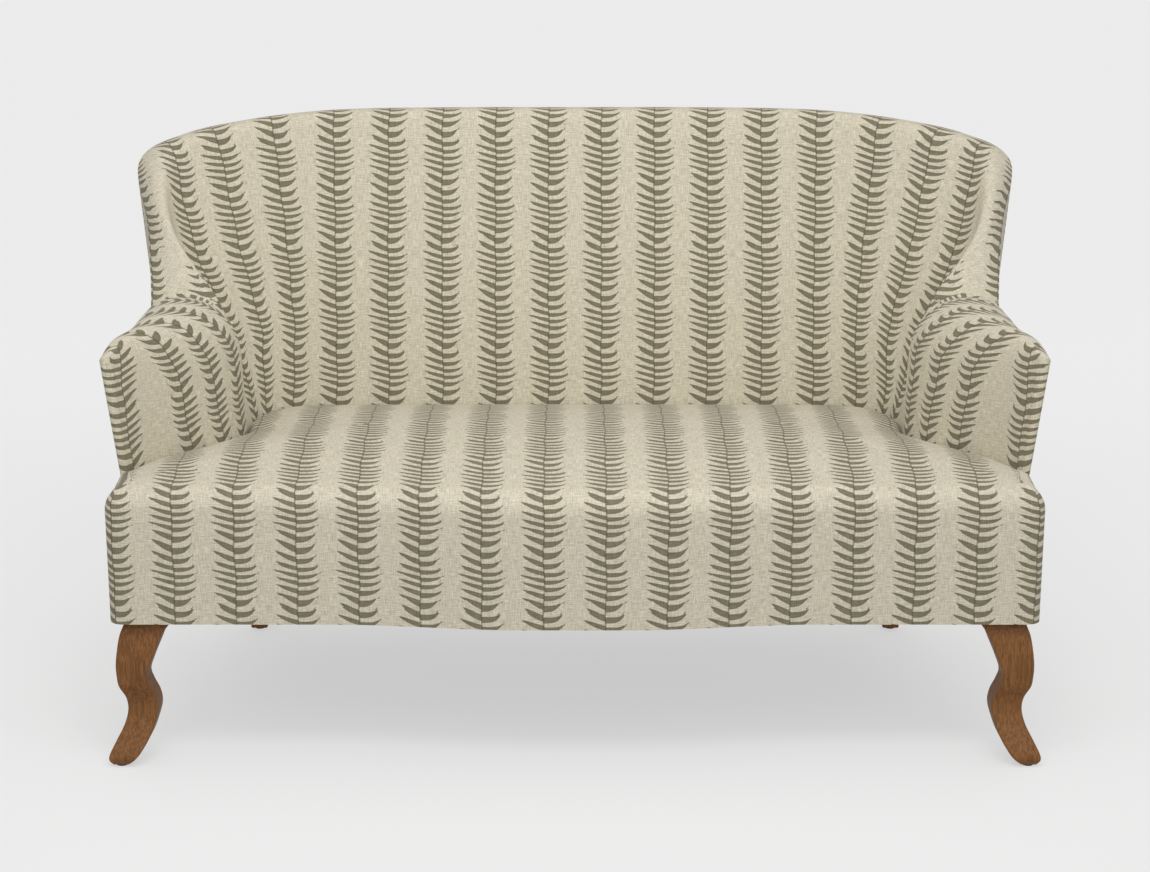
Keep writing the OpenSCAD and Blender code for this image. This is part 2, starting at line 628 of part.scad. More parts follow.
module centre_seat_rail() color("peru") here()
  translate([-rail_thickness / 2, rail_back, leg_height])
    cube([rail_thickness, rear_line - rail_back, centre_rail_height]);

// Sinuous springs lie on the front and rear rails under flat clips, with the spring cloth over them
spring_place_counts = [0.5, 1.5, 2.5];
spring_start = rail_back - spring_bite;
spring_end = rear_line + spring_bite;
wave_step_count = 4;
wave_fullness_share = 0.45;
function wave(t) = sin(t) * (1 + (1 - sin(t) * sin(t)) * wave_fullness_share);
spring_reach = (spring_width - spring_wire) / 2;
spring_run = spring_end - spring_start - spring_wire;
function wire_point(bends) = [
  spring_reach * wave(half_turn_angle * bends),
  spring_start + spring_wire / 2 + spring_run * bends / spring_bend_count
];
function spring_line(side) =
  [for (i = [0 : 1 : spring_bend_count * wave_step_count])
    let(p = wire_point(i / wave_step_count), d = unit(wire_point(i / wave_step_count + nudge_share) - p))
    p + [-d[1], d[0]] * side * spring_wire / 2];
module seat_springs() color("silver") here() sides() for (k = spring_place_counts)
  translate([k * spring_pitch, 0, rail_top]) linear_extrude(spring_wire)
    polygon(concat(spring_line(-1), backwards(spring_line(1))));
module clip(far) {
  near_end = spring_start - clip_thickness - clearance;
  wire_top = rail_top + spring_wire + clearance / 2;
  translate([-clip_length / 2, far ? spring_end - spring_bite : near_end, wire_top])
    cube([clip_length, spring_bite + clip_thickness + clearance, clip_thickness - clearance]);
  translate([-clip_length / 2, far ? spring_end + clearance : near_end, rail_top])
    cube([clip_length, clip_thickness, spring_wire + clearance / 2]);
}
module spring_clips() color("dimgray") here() sides() for (k = spring_place_counts, far = [0, 1])
  translate([k * spring_pitch, 0, 0]) clip(far == 1);
cloth_margin = 2;
module spring_cloth() color("olive") here() {
  half = side_inner - cloth_margin;
  cut = block_width;
  board(
    [
      [-half, rail_back + cloth_margin],
      [half, rail_back + cloth_margin],
      [half, side_end - cut],
      [corner_x, rear_line - cloth_margin],
      [-corner_x, rear_line - cloth_margin],
      [-half, side_end - cut]
    ],
    cloth_bottom, webbing_thickness);
}

// Webbing between the padding and the formers
web_end_share = 7;
back_web_shares = between(back_column_shares, first_station_share, web_end_share);
arm_web_shares = between(arm_column_shares, tuck_station_share, nose_station_share);
function web_grid(columns, band, deep) =
  [for (s = columns) [for (v = band) core_at(s, v, clearance + deep)]];
module back_webbing() color("olive") here() for (band = web_band_shares)
  thick(
    whole(web_grid(back_web_shares, band, 0)),
    whole(web_grid(back_web_shares, band, webbing_thickness)), mirrored = true);
module arm_webbing() color("olive") here() sides()
  thick(
    web_grid(arm_web_shares, web_band_shares[1], 0),
    web_grid(arm_web_shares, web_band_shares[1], webbing_thickness));

// Legs: the front ones are square blanks cut to the same profile from the side and from the front
toe_side = seat_half_width + toe_overhang;
toe_front = -toe_lead;
bolt_inset = 50;
leg_height_shares = [1, 0.973, 0.9, 0.8, 0.7, 0.617, 0.54, 0.447, 0.357, 0.26, 0.167, 0.077, 0.034, 0];
leg_outer_shares =
  [0.3, 0.273, 0.208, 0.166, 0.142, 0.146, 0.168, 0.252, 0.271, 0.217, 0.112, 0.012, 0, 0.045];
leg_inner_shares = [1, 0.965, 0.848, 0.751, 0.66, 0.604, 0.64, 0.71, 0.732, 0.68, 0.6, 0.475, 0.39, 0.3];
leg_step_count = 2;
function leg_side(list) =
  [for (i = [0 : 1 : leg_step_count * (len(leg_height_shares) - 1)]) let(k = i / leg_step_count)
    [-leg_blank * along(list, k), mix(glide_height, leg_height, along(leg_height_shares, k))]];
leg_profile = concat(leg_side(leg_outer_shares), backwards(leg_side(leg_inner_shares)));
module front_leg() {
  difference() {
    intersection() {
      translate([toe_side, toe_front + leg_blank + overrun, 0]) rotate([90, 0, 0])
        linear_extrude(leg_blank + 2 * overrun) polygon(leg_profile);
      translate([toe_side + overrun, toe_front, 0]) rotate([90, 0, -90])
        linear_extrude(leg_blank + 2 * overrun) polygon(leg_profile);
    }
    side_bores();
  }
}
module right_front_leg() color("saddlebrown") here() front_leg();
module left_front_leg() color("saddlebrown") here() left() front_leg();
rear_top_depth = rail_outline(4, layer)[1] - rear_leg_width * 3 / 2;
rear_foot_depth = rear_top_depth + rear_leg_rake;
module leg_taper(foot, top) {
  w = rear_leg_width / 2;
  f = rear_foot_width / 2;
  polygon([
    [foot - f, glide_height],
    [foot + f, glide_height],
    [top + w, leg_height],
    [top - w, leg_height]
  ]);
}
module rear_leg() {
  difference() {
    intersection() {
      translate([rear_foot_half_span, rear_foot_depth + rear_leg_width, 0]) rotate([90, 0, 0])
        linear_extrude(2 * rear_leg_width + rear_leg_rake) leg_taper(0, 0);
      translate([rear_foot_half_span - rear_leg_width, 0, 0]) rotate([90, 0, 90])
        linear_extrude(2 * rear_leg_width) leg_taper(rear_foot_depth, rear_top_depth);
    }
    rear_bores();
  }
}
module rear_legs() color("saddlebrown") here() sides() rear_leg();
module bolt(x, depth) {
  translate([x, depth, leg_height - bolt_length / 2])
    cylinder(h = bolt_length, d = bolt_diameter, $fn = 48);
}
module leg_bolts() color("silver") here() sides() {
  bolt(toe_side - bolt_inset, bolt_depth);
  bolt(rear_foot_half_span, rear_top_depth);
}
glide_share = 0.17;
module glide(x, depth) {
  translate([x, depth, 0]) cylinder(h = glide_height, d = glide_width, $fn = 48);
}
module glides() color("dimgray") here() sides() {
  glide(toe_side - leg_blank * glide_share, toe_front + leg_blank * glide_share);
  glide(rear_foot_half_span, rear_foot_depth);
}
module leg_hole(x, depth, width) {
  translate([x, depth, leg_height - dust_thickness - overrun])
    cube([width, width, dust_thickness + 2 * overrun]);
}
module dust_cover() color("black") here() {
  half = rail_side - dust_inset;
  corner = leg_blank + leg_notch;
  notch = rear_leg_width / 2 + leg_notch;
  shrink = 1 - dust_inset / foot_half_width;
  turn = [for (i = [1 : 1 : corner_last]) corner_curve[i] * shrink];
  difference() {
    board(
      concat(
        [[-half, rail_front + dust_inset], [half, rail_front + dust_inset], [half, side_end]],
        turn,
        [for (p = backwards(turn)) [-p[0], p[1]]],
        [[-half, side_end]]),
      leg_height - dust_thickness, dust_thickness);
    sides() {
      leg_hole(toe_side - corner, toe_front, corner);
      leg_hole(rear_foot_half_span - notch, rear_top_depth - notch, 2 * notch);
    }
  }
}

front_seat_rail();
rear_seat_rail();
left_side_rail();
right_side_rail();
rear_corner_rails();
front_corner_blocks();
centre_seat_rail();
back_top_rail();
left_wing_rail();
right_wing_rail();
left_arm_top_rail();
right_arm_top_rail();
back_formers();
left_wing_former();
right_wing_former();
left_arm_formers();
right_arm_formers();
seat_springs();
spring_clips();
spring_cloth();
back_webbing();
arm_webbing();
seat_foam();
back_foam();
left_arm_foam();
right_arm_foam();
seat_cover();
inside_back_cover();
left_inside_arm_cover();
right_inside_arm_cover();
outside_back_cover();
left_outside_arm_cover();
right_outside_arm_cover();
front_rail_felt();
dust_cover();
left_front_leg();
right_front_leg();
rear_legs();
leg_bolts();
glides();
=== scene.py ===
# %% [markdown]
# A high back settee: one tub of back, wings and flared arms wrapped round a bowed seat. The frame, springs,
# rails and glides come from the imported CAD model. Blender adds what a drawing office leaves out: the
# stretched cloth with its leafy stripe, the rounded wooden legs, the staples underneath and the light.

# %% Load the frame
import json
import math
from collections import namedtuple
from functools import partial

import bmesh
import bpy
import numpy as np
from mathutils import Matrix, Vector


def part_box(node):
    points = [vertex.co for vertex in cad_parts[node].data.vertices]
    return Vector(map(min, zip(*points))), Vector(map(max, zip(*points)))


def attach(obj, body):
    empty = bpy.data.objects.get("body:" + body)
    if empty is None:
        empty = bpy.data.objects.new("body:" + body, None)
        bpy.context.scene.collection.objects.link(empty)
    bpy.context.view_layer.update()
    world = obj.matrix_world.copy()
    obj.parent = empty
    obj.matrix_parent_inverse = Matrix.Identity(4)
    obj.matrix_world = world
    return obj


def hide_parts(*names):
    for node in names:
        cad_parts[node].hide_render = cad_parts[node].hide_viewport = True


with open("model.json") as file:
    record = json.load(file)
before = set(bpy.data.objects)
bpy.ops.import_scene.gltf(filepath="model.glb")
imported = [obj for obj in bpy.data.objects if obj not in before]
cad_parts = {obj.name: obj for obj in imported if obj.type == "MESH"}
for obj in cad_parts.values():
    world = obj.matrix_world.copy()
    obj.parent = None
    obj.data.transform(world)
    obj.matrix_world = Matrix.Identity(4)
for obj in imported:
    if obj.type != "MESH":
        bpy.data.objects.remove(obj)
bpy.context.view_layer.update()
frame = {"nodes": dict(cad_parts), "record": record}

# %% [markdown]
# The photograph was taken from in front, a little above the rim. A camera is three numbers here: how far away
# it stands, how high, and how steeply it looks down. The lens then gives the settee its size in the picture.

# %% Camera
CAMERA_DISTANCE = 3.6085
CAMERA_HEIGHT = 1.336
CAMERA_TILT = math.radians(13.76)
LENS = 67.74
camera_data = bpy.data.cameras.new("view")
camera_data.lens = LENS
camera_data.sensor_width = 36
camera_data.clip_end = 300


def put_in_scene(name, data):
    """An object made from its data and linked to the scene."""
    made = bpy.data.objects.new(name, data)
    bpy.context.scene.collection.objects.link(made)
    return made


camera = put_in_scene("view", camera_data)
camera.location = (0, -CAMERA_DISTANCE, CAMERA_HEIGHT)
camera.rotation_euler = (math.pi / 2 - CAMERA_TILT, 0, 0)
bpy.context.scene.camera = camera
print("camera: lens", LENS, "mm, tilt", round(math.degrees(CAMERA_TILT), 2), "degrees")

# %% [markdown]
# A shader tree can be clicked together or written as sums. Sums are shorter and can be read like a formula,
# so a few helpers come first: each adds one node and returns its output for the next sum.


# %% Shader helpers
def feed(tree, sockets, values):
    """Sets sockets to numbers or colours, or links them to other sockets."""
    for key, value in values.items():
        if isinstance(value, bpy.types.NodeSocket):
            tree.links.new(value, sockets[key])
        else:
            sockets[key].default_value = value


def add_node(tree, kind, fed=None, **settings):
    """Adds one node, sets it up by name and feeds its inputs."""
    made = tree.nodes.new(kind)
    for key, value in settings.items():
        setattr(made, key, value)
    feed(tree, made.inputs, fed or {})
    return made


def calc(tree, operation, a, b=0.0, clamp=False):
    """One sum of two values."""
    return add_node(tree, "ShaderNodeMath", {0: a, 1: b}, operation=operation, use_clamp=clamp).outputs[0]


def sums(tree):
    """Plus, minus, times and sine for one tree, so that a formula in it stays short."""
    return [partial(calc, tree, operation) for operation in ("ADD", "SUBTRACT", "MULTIPLY", "SINE")]


def blend(tree, share, a, b):
    """Mixes two colours."""
    return add_node(tree, "ShaderNodeMix", {0: share, 6: a, 7: b}, data_type="RGBA").outputs[2]


def ramp(tree, value, low, high, out_low=0.0, out_high=1.0):
    """A soft step from one value to another."""
    fed = dict(enumerate((value, low, high, out_low, out_high)))
    return add_node(tree, "ShaderNodeMapRange", fed, interpolation_type="SMOOTHSTEP").outputs[0]


def noise(tree, vector, scale, detail=2.0, roughness=0.5):
    """Even, cloudy noise."""
    fed = {"Vector": vector, "Scale": scale, "Detail": detail, "Roughness": roughness}
    return add_node(tree, "ShaderNodeTexNoise", fed).outputs[0]


def drawn_noise(tree, vector, scales, detail=2.0, roughness=0.5):
    """Noise with a scale of its own on each axis, for threads and grain."""
    drawn = add_node(tree, "ShaderNodeVectorMath", {0: vector, 1: scales}, operation="MULTIPLY")
    return noise(tree, drawn.outputs[0], 1, detail, roughness)


def split(tree, vector):
    """The three parts of a vector."""
    return add_node(tree, "ShaderNodeSeparateXYZ", {0: vector}).outputs


def object_place(tree):
    """The place on the piece itself, in metres."""
    return add_node(tree, "ShaderNodeTexCoord").outputs["Object"]


print("shader helpers ready")

# %% [markdown]
# An effect that several materials share, such as a weave, is a node group: a small tree with named inputs and
# outputs. The Principled shader stays in each material, where the export can read it.

# %% Groups and materials
FLOAT, VECTOR = "NodeSocketFloat", "NodeSocketVector"


def group(name, takes, gives):
    """An empty node group with named inputs and outputs."""
    tree = bpy.data.node_groups.new(name, "ShaderNodeTree")
    for label, kind, value in takes:
        socket = tree.interface.new_socket(label, in_out="INPUT", socket_type=kind)
        if value is not None:
            socket.default_value = value
    for label in gives:
        tree.interface.new_socket(label, in_out="OUTPUT", socket_type=FLOAT)
    return tree, tree.nodes.new("NodeGroupInput").outputs, tree.nodes.new("NodeGroupOutput").inputs


def use(tree, made_group, **fed):
    """Places a group in a tree and returns its outputs."""
    return add_node(tree, "ShaderNodeGroup", fed, node_tree=made_group).outputs


def material(name, roughness, specular=0.5):
    """A new material, its tree and the inputs of its shader."""
    made = bpy.data.materials.new(name)
    made.use_nodes = True
    surface = made.node_tree.nodes["Principled BSDF"].inputs
    feed(made.node_tree, surface, {"Roughness": roughness, "Specular IOR Level": specular})
    return made, made.node_tree, surface


def bump(tree, height, strength, distance):
    """Small relief from a height."""
    fed = {"Height": height, "Strength": strength, "Distance": distance}
    return add_node(tree, "ShaderNodeBump", fed).outputs[0]


def colour(red, green, blue):
    """A colour read off a screen, turned into the linear light that shaders work with."""
    shares = (red / 255, green / 255, blue / 255)
    return tuple(c / 12.92 if c <= 0.04045 else ((c + 0.055) / 1.055) ** 2.4 for c in shares) + (1.0,)


print("group and material helpers ready")

# %% [markdown]
# The cloth is a linen twill. Close to, it shows fine diagonal ribs, thicker slubs along both threads, flecks
# and a soft mottling. All are made from one pair of thread coordinates in metres, so they keep their real
# size on every panel, and one group serves the cover, the black dust cloth, the felt and the webbing.

# %% Woven cloth group
RIB_SLANT = 0.85
THREAD_DEPTH, FLECK_DEPTH, RIB_DEPTH, MOTTLE_DEPTH = 0.85, 0.9, 0.04, 0.10
WARP_SCALES, WEFT_SCALES = (620, 60, 1), (70, 560, 1)
FLECK_SCALE, MOTTLE_SCALE = 900, 28
RIB_RELIEF, THREAD_RELIEF = 0.35, 1.2
woven, takes, gives = group(
    "woven cloth",
    [("Threads", VECTOR, None), ("Rib", FLOAT, 0.0024)],
    ["Shade", "Height"],
)
plus, minus, times, sine = sums(woven)
across, upwards, _ = split(woven, takes["Threads"])
slanted = calc(woven, "DIVIDE", plus(across, times(upwards, RIB_SLANT)), takes["Rib"])
rib = sine(times(slanted, 2 * math.pi))
warp = drawn_noise(woven, takes["Threads"], WARP_SCALES, 2, 0.6)
weft = drawn_noise(woven, takes["Threads"], WEFT_SCALES, 2, 0.6)
fleck = noise(woven, takes["Threads"], FLECK_SCALE, 2)
mottle = noise(woven, takes["Threads"], MOTTLE_SCALE, 3, 0.6)
threads = plus(minus(warp, 0.5), minus(weft, 0.5))
shade = plus(1.0, times(threads, THREAD_DEPTH))
shade = plus(shade, times(minus(fleck, 0.5), FLECK_DEPTH))
shade = plus(shade, times(rib, RIB_DEPTH))
shade = plus(shade, times(minus(mottle, 0.5), MOTTLE_DEPTH))
feed(woven, gives, {"Shade": shade, "Height": plus(times(rib, RIB_RELIEF), times(threads, THREAD_RELIEF))})
print("woven cloth group:", len(woven.nodes), "nodes")

# %% [markdown]
# The stripe is a plain leafy frond: a thin stem with leaflets on both sides that curve up at their tips. It
# could be a picture, but a formula stays sharp at any size. The distance from the nearest stem says how far
# out on a leaflet a point lies. The place along the stem, less a lift that grows with that distance, says on
# which leaflet it is. Slow waves along the stem let the leaflets swell and crowd a little, as in a hand drawn
# print.

# %% Leafy stripe: stem and places
REACH, LEAF_STEP, STEM_HALF = 0.0365, 0.0147, 0.0019
WAVE_LENGTH, STEM_SWAY = 0.097, 0.0011
RIGHT_LEAD, CROWDING, CROWD_PHASE = 0.2, 0.26, 1.2
MEAN_LENGTH, SWELLING, SWELL_PHASE = 0.93, 0.07, 2.6
OWN_LENGTH, OWN_RHYTHM = 0.05, 2.4
stripe, takes, gives = group(
    "leafy stripe",
    [
        ("Across", FLOAT, 0.0), ("Along", FLOAT, 0.0), ("Pitch", FLOAT, 0.095),
        ("Reach", FLOAT, REACH), ("Step", FLOAT, LEAF_STEP), ("Stem", FLOAT, STEM_HALF),
    ],
    ["Leaf", "Stem", "Tone"],
)
plus, minus, times, sine = sums(stripe)
wave = times(takes["Along"], 2 * math.pi / WAVE_LENGTH)
offset = times(minus(calc(stripe, "FRACT", takes["Across"]), 0.5), takes["Pitch"])
offset = plus(offset, times(sine(wave), STEM_SWAY))
distance = calc(stripe, "ABSOLUTE", offset)
right_side = calc(stripe, "GREATER_THAN", offset, 0.0)
place = plus(calc(stripe, "DIVIDE", takes["Along"], takes["Step"]), times(right_side, RIGHT_LEAD))
place = plus(place, times(sine(plus(wave, CROWD_PHASE)), CROWDING))
own_length = times(sine(times(calc(stripe, "FLOOR", place), OWN_RHYTHM)), OWN_LENGTH)
length = plus(MEAN_LENGTH, plus(times(sine(plus(wave, SWELL_PHASE)), SWELLING), own_length))
out = calc(stripe, "DIVIDE", distance, times(takes["Reach"], length))
print("leafy stripe: leaflets every", LEAF_STEP, "m")

# %% [markdown]
# A leaflet is widest at the stem and thins to its tip. The right ones lift late and the left ones evenly, so
# the frond doesn't look stamped. The tone darkens the rim of a leaflet and its tip, where more ink lies.

# %% Leafy stripe: leaflets
LIFT_LEFT, LIFT_RIGHT = (1.25, 0.85), (3.6, 0.75)
TAPER_REACH, TAPER_BLUNT, LEAF_HALF = 2.2, 0.75, 0.3
LEAF_EDGE, RIM_WIDTH = (-0.03, 0.05), 0.16
STEM_CORE, RIM_TONE, TIP_TONE = 0.35, 0.45, 0.3
left, right = (times(calc(stripe, "POWER", out, power), size) for power, size in (LIFT_LEFT, LIFT_RIGHT))
lift = plus(left, times(minus(right, left), right_side))
from_middle = calc(stripe, "ABSOLUTE", minus(calc(stripe, "FRACT", minus(place, lift)), 0.5))
narrowing = calc(stripe, "MAXIMUM", minus(1.0, calc(stripe, "POWER", out, TAPER_REACH)), 0.0)
within = minus(times(calc(stripe, "POWER", narrowing, TAPER_BLUNT), LEAF_HALF), from_middle)
feed(stripe, gives, {
    "Leaf": times(ramp(stripe, within, *LEAF_EDGE), calc(stripe, "LESS_THAN", out, 1.0)),
    "Stem": ramp(stripe, distance, takes["Stem"], times(takes["Stem"], STEM_CORE)),
    "Tone": plus(times(ramp(stripe, within, RIM_WIDTH, 0.0), RIM_TONE), times(out, TIP_TONE)),
})
print("leafy stripe group:", len(stripe.nodes), "nodes")

# %% [markdown]
# The cover is the stripe printed on the weave. Worn ink comes from fine noise, which thins the colour of the
# leaflets. Where the cloth is gathered, round the arms, the stripes lie closer and the leaflets narrow with
# them.

# %% Cover material
CLOTH, LEAF, LEAF_DARK = colour(207, 199, 178), colour(117, 110, 86), colour(80, 74, 55)
FULL_PITCH, WEAR_SCALE, WEAR_TONE = 0.089, 520, 1.6
FULL_INK, LEAF_WEAR, STEM_WEAR, STEM_INK = 1.12, 0.42, (0.3, 0.6), 0.8
cover, tree, surface = material("striped linen", 0.9, specular=0.25)
plus, minus, times, sine = sums(tree)
stripe_map = add_node(tree, "ShaderNodeUVMap", uv_map="stripe").outputs[0]
cloth_map = add_node(tree, "ShaderNodeUVMap", uv_map="cloth").outputs[0]
pitch_value = add_node(tree, "ShaderNodeAttribute", attribute_name="pitch").outputs["Fac"]
place_across, place_along, _ = split(tree, stripe_map)
gathered = calc(tree, "DIVIDE", pitch_value, FULL_PITCH, clamp=True)
printed = use(
    tree, stripe, Across=place_across, Along=place_along, Pitch=pitch_value, Reach=times(gathered, REACH)
)
worn = noise(tree, cloth_map, WEAR_SCALE, 3, 0.7)
leaf_tone = plus(printed["Tone"], times(minus(worn, 0.5), WEAR_TONE), clamp=True)
ink = times(printed["Leaf"], minus(FULL_INK, times(worn, LEAF_WEAR)), clamp=True)
stem_ink = times(printed["Stem"], times(ramp(tree, worn, *STEM_WEAR), STEM_INK))
painted = blend(tree, ink, CLOTH, blend(tree, leaf_tone, LEAF, LEAF_DARK))
painted = blend(tree, stem_ink, painted, LEAF_DARK)
weave = use(tree, woven, Threads=cloth_map)
shaded = add_node(tree, "ShaderNodeVectorMath", {0: painted, "Scale": weave["Shade"]}, operation="SCALE")
feed(tree, surface, {
    "Base Color": shaded.outputs[0],
    "Normal": bump(tree, weave["Height"], 0.35, 0.0006),
    "Sheen Weight": 0.12,
    "Sheen Roughness": 0.5,
})
print("cover material: cloth", [round(c, 3) for c in CLOTH[:3]])

# %% [markdown]
# Wood is grain drawn along the piece: long, thin streaks of noise on Object coordinates, darker in the pores.
# The varnished legs and the plain beech of the hidden frame use the same group with other colours.

# %% Wood group and materials
STREAK_SCALES, PORE_SCALES, BROAD_SCALES = (330, 330, 5), (900, 900, 20), (16, 16, 4)
grain, takes, gives = group("wood grain", [("Place", VECTOR, None)], ["Streak", "Pore", "Height"])
plus, minus, times, sine = sums(grain)
streak = drawn_noise(grain, takes["Place"], STREAK_SCALES, 4, 0.6)
pore = drawn_noise(grain, takes["Place"], PORE_SCALES)
broad = drawn_noise(grain, takes["Place"], BROAD_SCALES)
feed(grain, gives, {
    "Streak": plus(times(streak, 0.85), times(broad, 0.15)),
    "Pore": ramp(grain, pore, 0.52, 0.66),
    "Height": minus(streak, times(pore, 0.5)),
})


def wood(name, light, dark, pore_colour, roughness):
    """A wood of three tones."""
    made, tree, surface = material(name, roughness, specular=0.25)
    lines = use(tree, grain, Place=object_place(tree))
    tint = blend(tree, ramp(tree, lines["Streak"], 0.3, 0.68), dark, light)
    tint = blend(tree, calc(tree, "MULTIPLY", lines["Pore"], 0.45), tint, pore_colour)
    feed(tree, surface, {"Base Color": tint, "Normal": bump(tree, lines["Height"], 0.12, 0.0004)})
    return made


leg_wood = wood("varnished leg wood", colour(144, 96, 52), colour(104, 68, 34), colour(62, 40, 20), 0.55)
rail_wood = wood("frame beech", colour(206, 172, 128), colour(176, 138, 96), colour(140, 104, 70), 0.6)
print("wood materials:", leg_wood.name, "and", rail_wood.name)

# %% [markdown]
# The hidden and small pieces get plain finishes of their own: non-woven dust cloth, jute webbing and felt
# share the weave, while foam, drawn steel wire and moulded glides share a fine speckle.


# %% Other materials
def cloth_like(name, light, dark, rib, height):
    """A plain cloth with ribs of a given width."""
    made, tree, surface = material(name, 0.95, specular=0.2)
    weave = use(tree, woven, Threads=object_place(tree), Rib=rib)
    tint = blend(tree, ramp(tree, weave["Shade"], 0.8, 1.2), dark, light)
    feed(tree, surface, {"Base Color": tint, "Normal": bump(tree, weave["Height"], height, 0.0006)})
    return made


def smooth_like(name, light, dark, roughness, scale, metallic=0.0):
    """A smooth stuff with a fine speckle in its colour and gloss."""
    made, tree, surface = material(name, roughness)
    speck = noise(tree, object_place(tree), scale, 3, 0.6)
    feed(tree, surface, {
        "Base Color": blend(tree, speck, dark, light),
        "Roughness": ramp(tree, speck, 0.2, 0.8, roughness * 0.85, roughness * 1.15),
        "Normal": bump(tree, speck, 0.1, 0.0003),
        "Metallic": metallic,
    })
    return made


wire = smooth_like("drawn spring wire", colour(128, 128, 130), colour(84, 84, 86), 0.35, 200, 1.0)
FINISH = {
    "rail_wood": rail_wood,
    "leg_wood": leg_wood,
    "cover": cover,
    "spring_steel": wire,
    "clip_steel": wire,
    "webbing": cloth_like("jute webbing", colour(150, 128, 92), colour(104, 86, 58), 0.004, 0.6),
    "felt": cloth_like("grey felt", colour(128, 124, 118), colour(92, 88, 84), 0.006, 0.3),
    "dust_cloth": cloth_like("black dust cloth", colour(52, 50, 48), colour(30, 29, 28), 0.002, 0.3),
    "foam": smooth_like("cream foam", colour(226, 214, 172), colour(206, 192, 150), 0.9, 300),
    "glide_plastic": smooth_like("dark glide plastic", colour(46, 42, 38), colour(28, 26, 24), 0.5, 400),
}
for part in frame["record"]["subparts"]:
    node_object = frame["nodes"][part["node"]]
    node_object.data.materials.clear()
    node_object.data.materials.append(FINISH[part["material_slot"]])

# %% [markdown]
# The tub is a loft. Stations run from the middle of the back (1), over the wing (6) and the tuck where the
# arm begins (8), to the front of the arm (13). Each station has a foot, a crest and an outer edge, given as
# shares of the settee's own sizes. The same table drew the CAD solids, so the cloth lies exactly where they
# are, only with many more points. The sizes come first. Depths count from the front of the seat.

# %% Sizes of the tub
SEAT_HALF, SEAT_DEPTH, SEAT_EDGE, SEAT_CROWN = 0.735, 0.598, 0.460, 0.030
BACK_HEIGHT, ARM_HEIGHT, LEG_HEIGHT, GLIDE = 0.984, 0.700, 0.238, 0.004
ARM_ROLL, RIM_ROLL, FRONT_BOW = 0.094, 0.036, 0.028
WING_OVERHANG, FOOT_INSET = 0.027, 0.029
BACK_LEAN, BACK_RUN, RIM_DEPTH, EDGE_DROP, BACK_BULGE = 0.107, 0.140, 0.068, 0.036, 0.014
TUCK_SINK, TUCK_REACH = 0.007, 0.5
COVER, CLEAR = 0.0025, 0.0003
RAIL_HEIGHT, SPRING_WIRE, SPRING_CLOTH = 0.092, 0.0036, 0.0016
CREST_HALF, FOOT_HALF = SEAT_HALF + WING_OVERHANG, SEAT_HALF - FOOT_INSET
CREST_DEPTH, FOOT_DEPTH = SEAT_DEPTH + BACK_LEAN, SEAT_DEPTH + BACK_RUN
EDGE_DEPTH = CREST_DEPTH + RIM_DEPTH
BASE = LEG_HEIGHT + RAIL_HEIGHT + SPRING_WIRE + SPRING_CLOTH + 3 * CLEAR
MIDDLE = (EDGE_DEPTH - FRONT_BOW) / 2
print("tub: wings", 2 * CREST_HALF, "m wide, inside covers start", round(BASE, 4), "m up")

# %% [markdown]
# Next come the stations. Written as shares, they keep their form when a size is changed.

# %% Stations as shares of those sizes
FIRST, WING, ARM, FRONT = 1, 6, 8, 13
SHARES = {
    "base_x": [-0.3, 0, 0.3, 0.561, 0.673, 0.722, 0.74, 0.752, 0.761, 0.777, 0.818, 0.876, 0.932, 0.962],
    "base_y": [1, 1, 1, 0.998, 0.977, 0.911, 0.836, 0.769, 0.711, 0.619, 0.527, 0.431, 0.334, 0.234],
    "crest_x": [-0.284, 0, 0.284, 0.55, 0.736, 0.886, 0.965, 0.945, 0.881, 0.877, 0.89, 0.913, 0.95, 0.974],
    "crest_y": [0.997, 1, 0.997, 0.979, 0.939, 0.88, 0.806, 0.695, 0.603, 0.525, 0.44, 0.355, 0.277, 0.203],
    "rise": [1, 1, 1, 0.991, 0.947, 0.867, 0.73, 0.362, 0, -0.028, -0.055, -0.1, -0.135, -0.195],
    "edge_x": [-0.29, 0, 0.29, 0.567, 0.767, 0.937, 1.014, 0.978, 0.957, 0.957, 0.957, 0.963, 0.985, 0.994],
    "edge_y": [0.997, 1, 0.997, 0.977, 0.932, 0.862, 0.781, 0.671, 0.557, 0.477, 0.4, 0.323, 0.252, 0.181],
    "edge_drop": [0.5, 0.5, 0.5, 0.5, 0.47, 0.47, 0.36, 0.4, 1, 0.89, 0.69, 0.5, 0.36, 0.35],
    "foot_x": [-0.3, 0, 0.3, 0.609, 0.8, 0.94, 1, 1, 1, 1, 1, 1, 1, 1],
    "foot_y": [1, 1, 1, 0.995, 0.955, 0.865, 0.75, 0.66, 0.576, 0.496, 0.418, 0.337, 0.262, 0.188],
    "spring": [0.8, 0.8, 0.8, 0.82, 0.84, 0.86, 0.86, 0.74, 0.14, 0.12, 0.14, 0.2, 0.32, 0.75],
    "roll": [0, 0, 0, 0, 0, 0, 0.05, 0.35, 1, 0.95, 0.9, 0.84, 0.78, 0.2],
    "flare": [0, 0, 0, 0, 0.1, 0.3, 0.7, 1, 0, 0, 0, 0, 0, 0],
    "bulge": [1, 1, 1, 1, 0.9, 0.6, 0.2, 0, 0, 0, 0, 0, 0, 0],
}
print("stations:", FRONT, "with", len(SHARES), "shares each")

# %% [markdown]
# A smooth curve through the shares gives every station in between. Near the tuck the cover is pulled in a
# little, as a seam pulls real cloth.


# %% Stations
Station = namedtuple("Station", "base spring crest edge foot outward")


def smooth(t):
    """A soft step from 0 to 1."""
    t = np.clip(t, 0, 1)
    return t * t * (3 - 2 * t)


def mix(a, b, t):
    """The way from a to b, as a share t of it."""
    return a + (b - a) * t


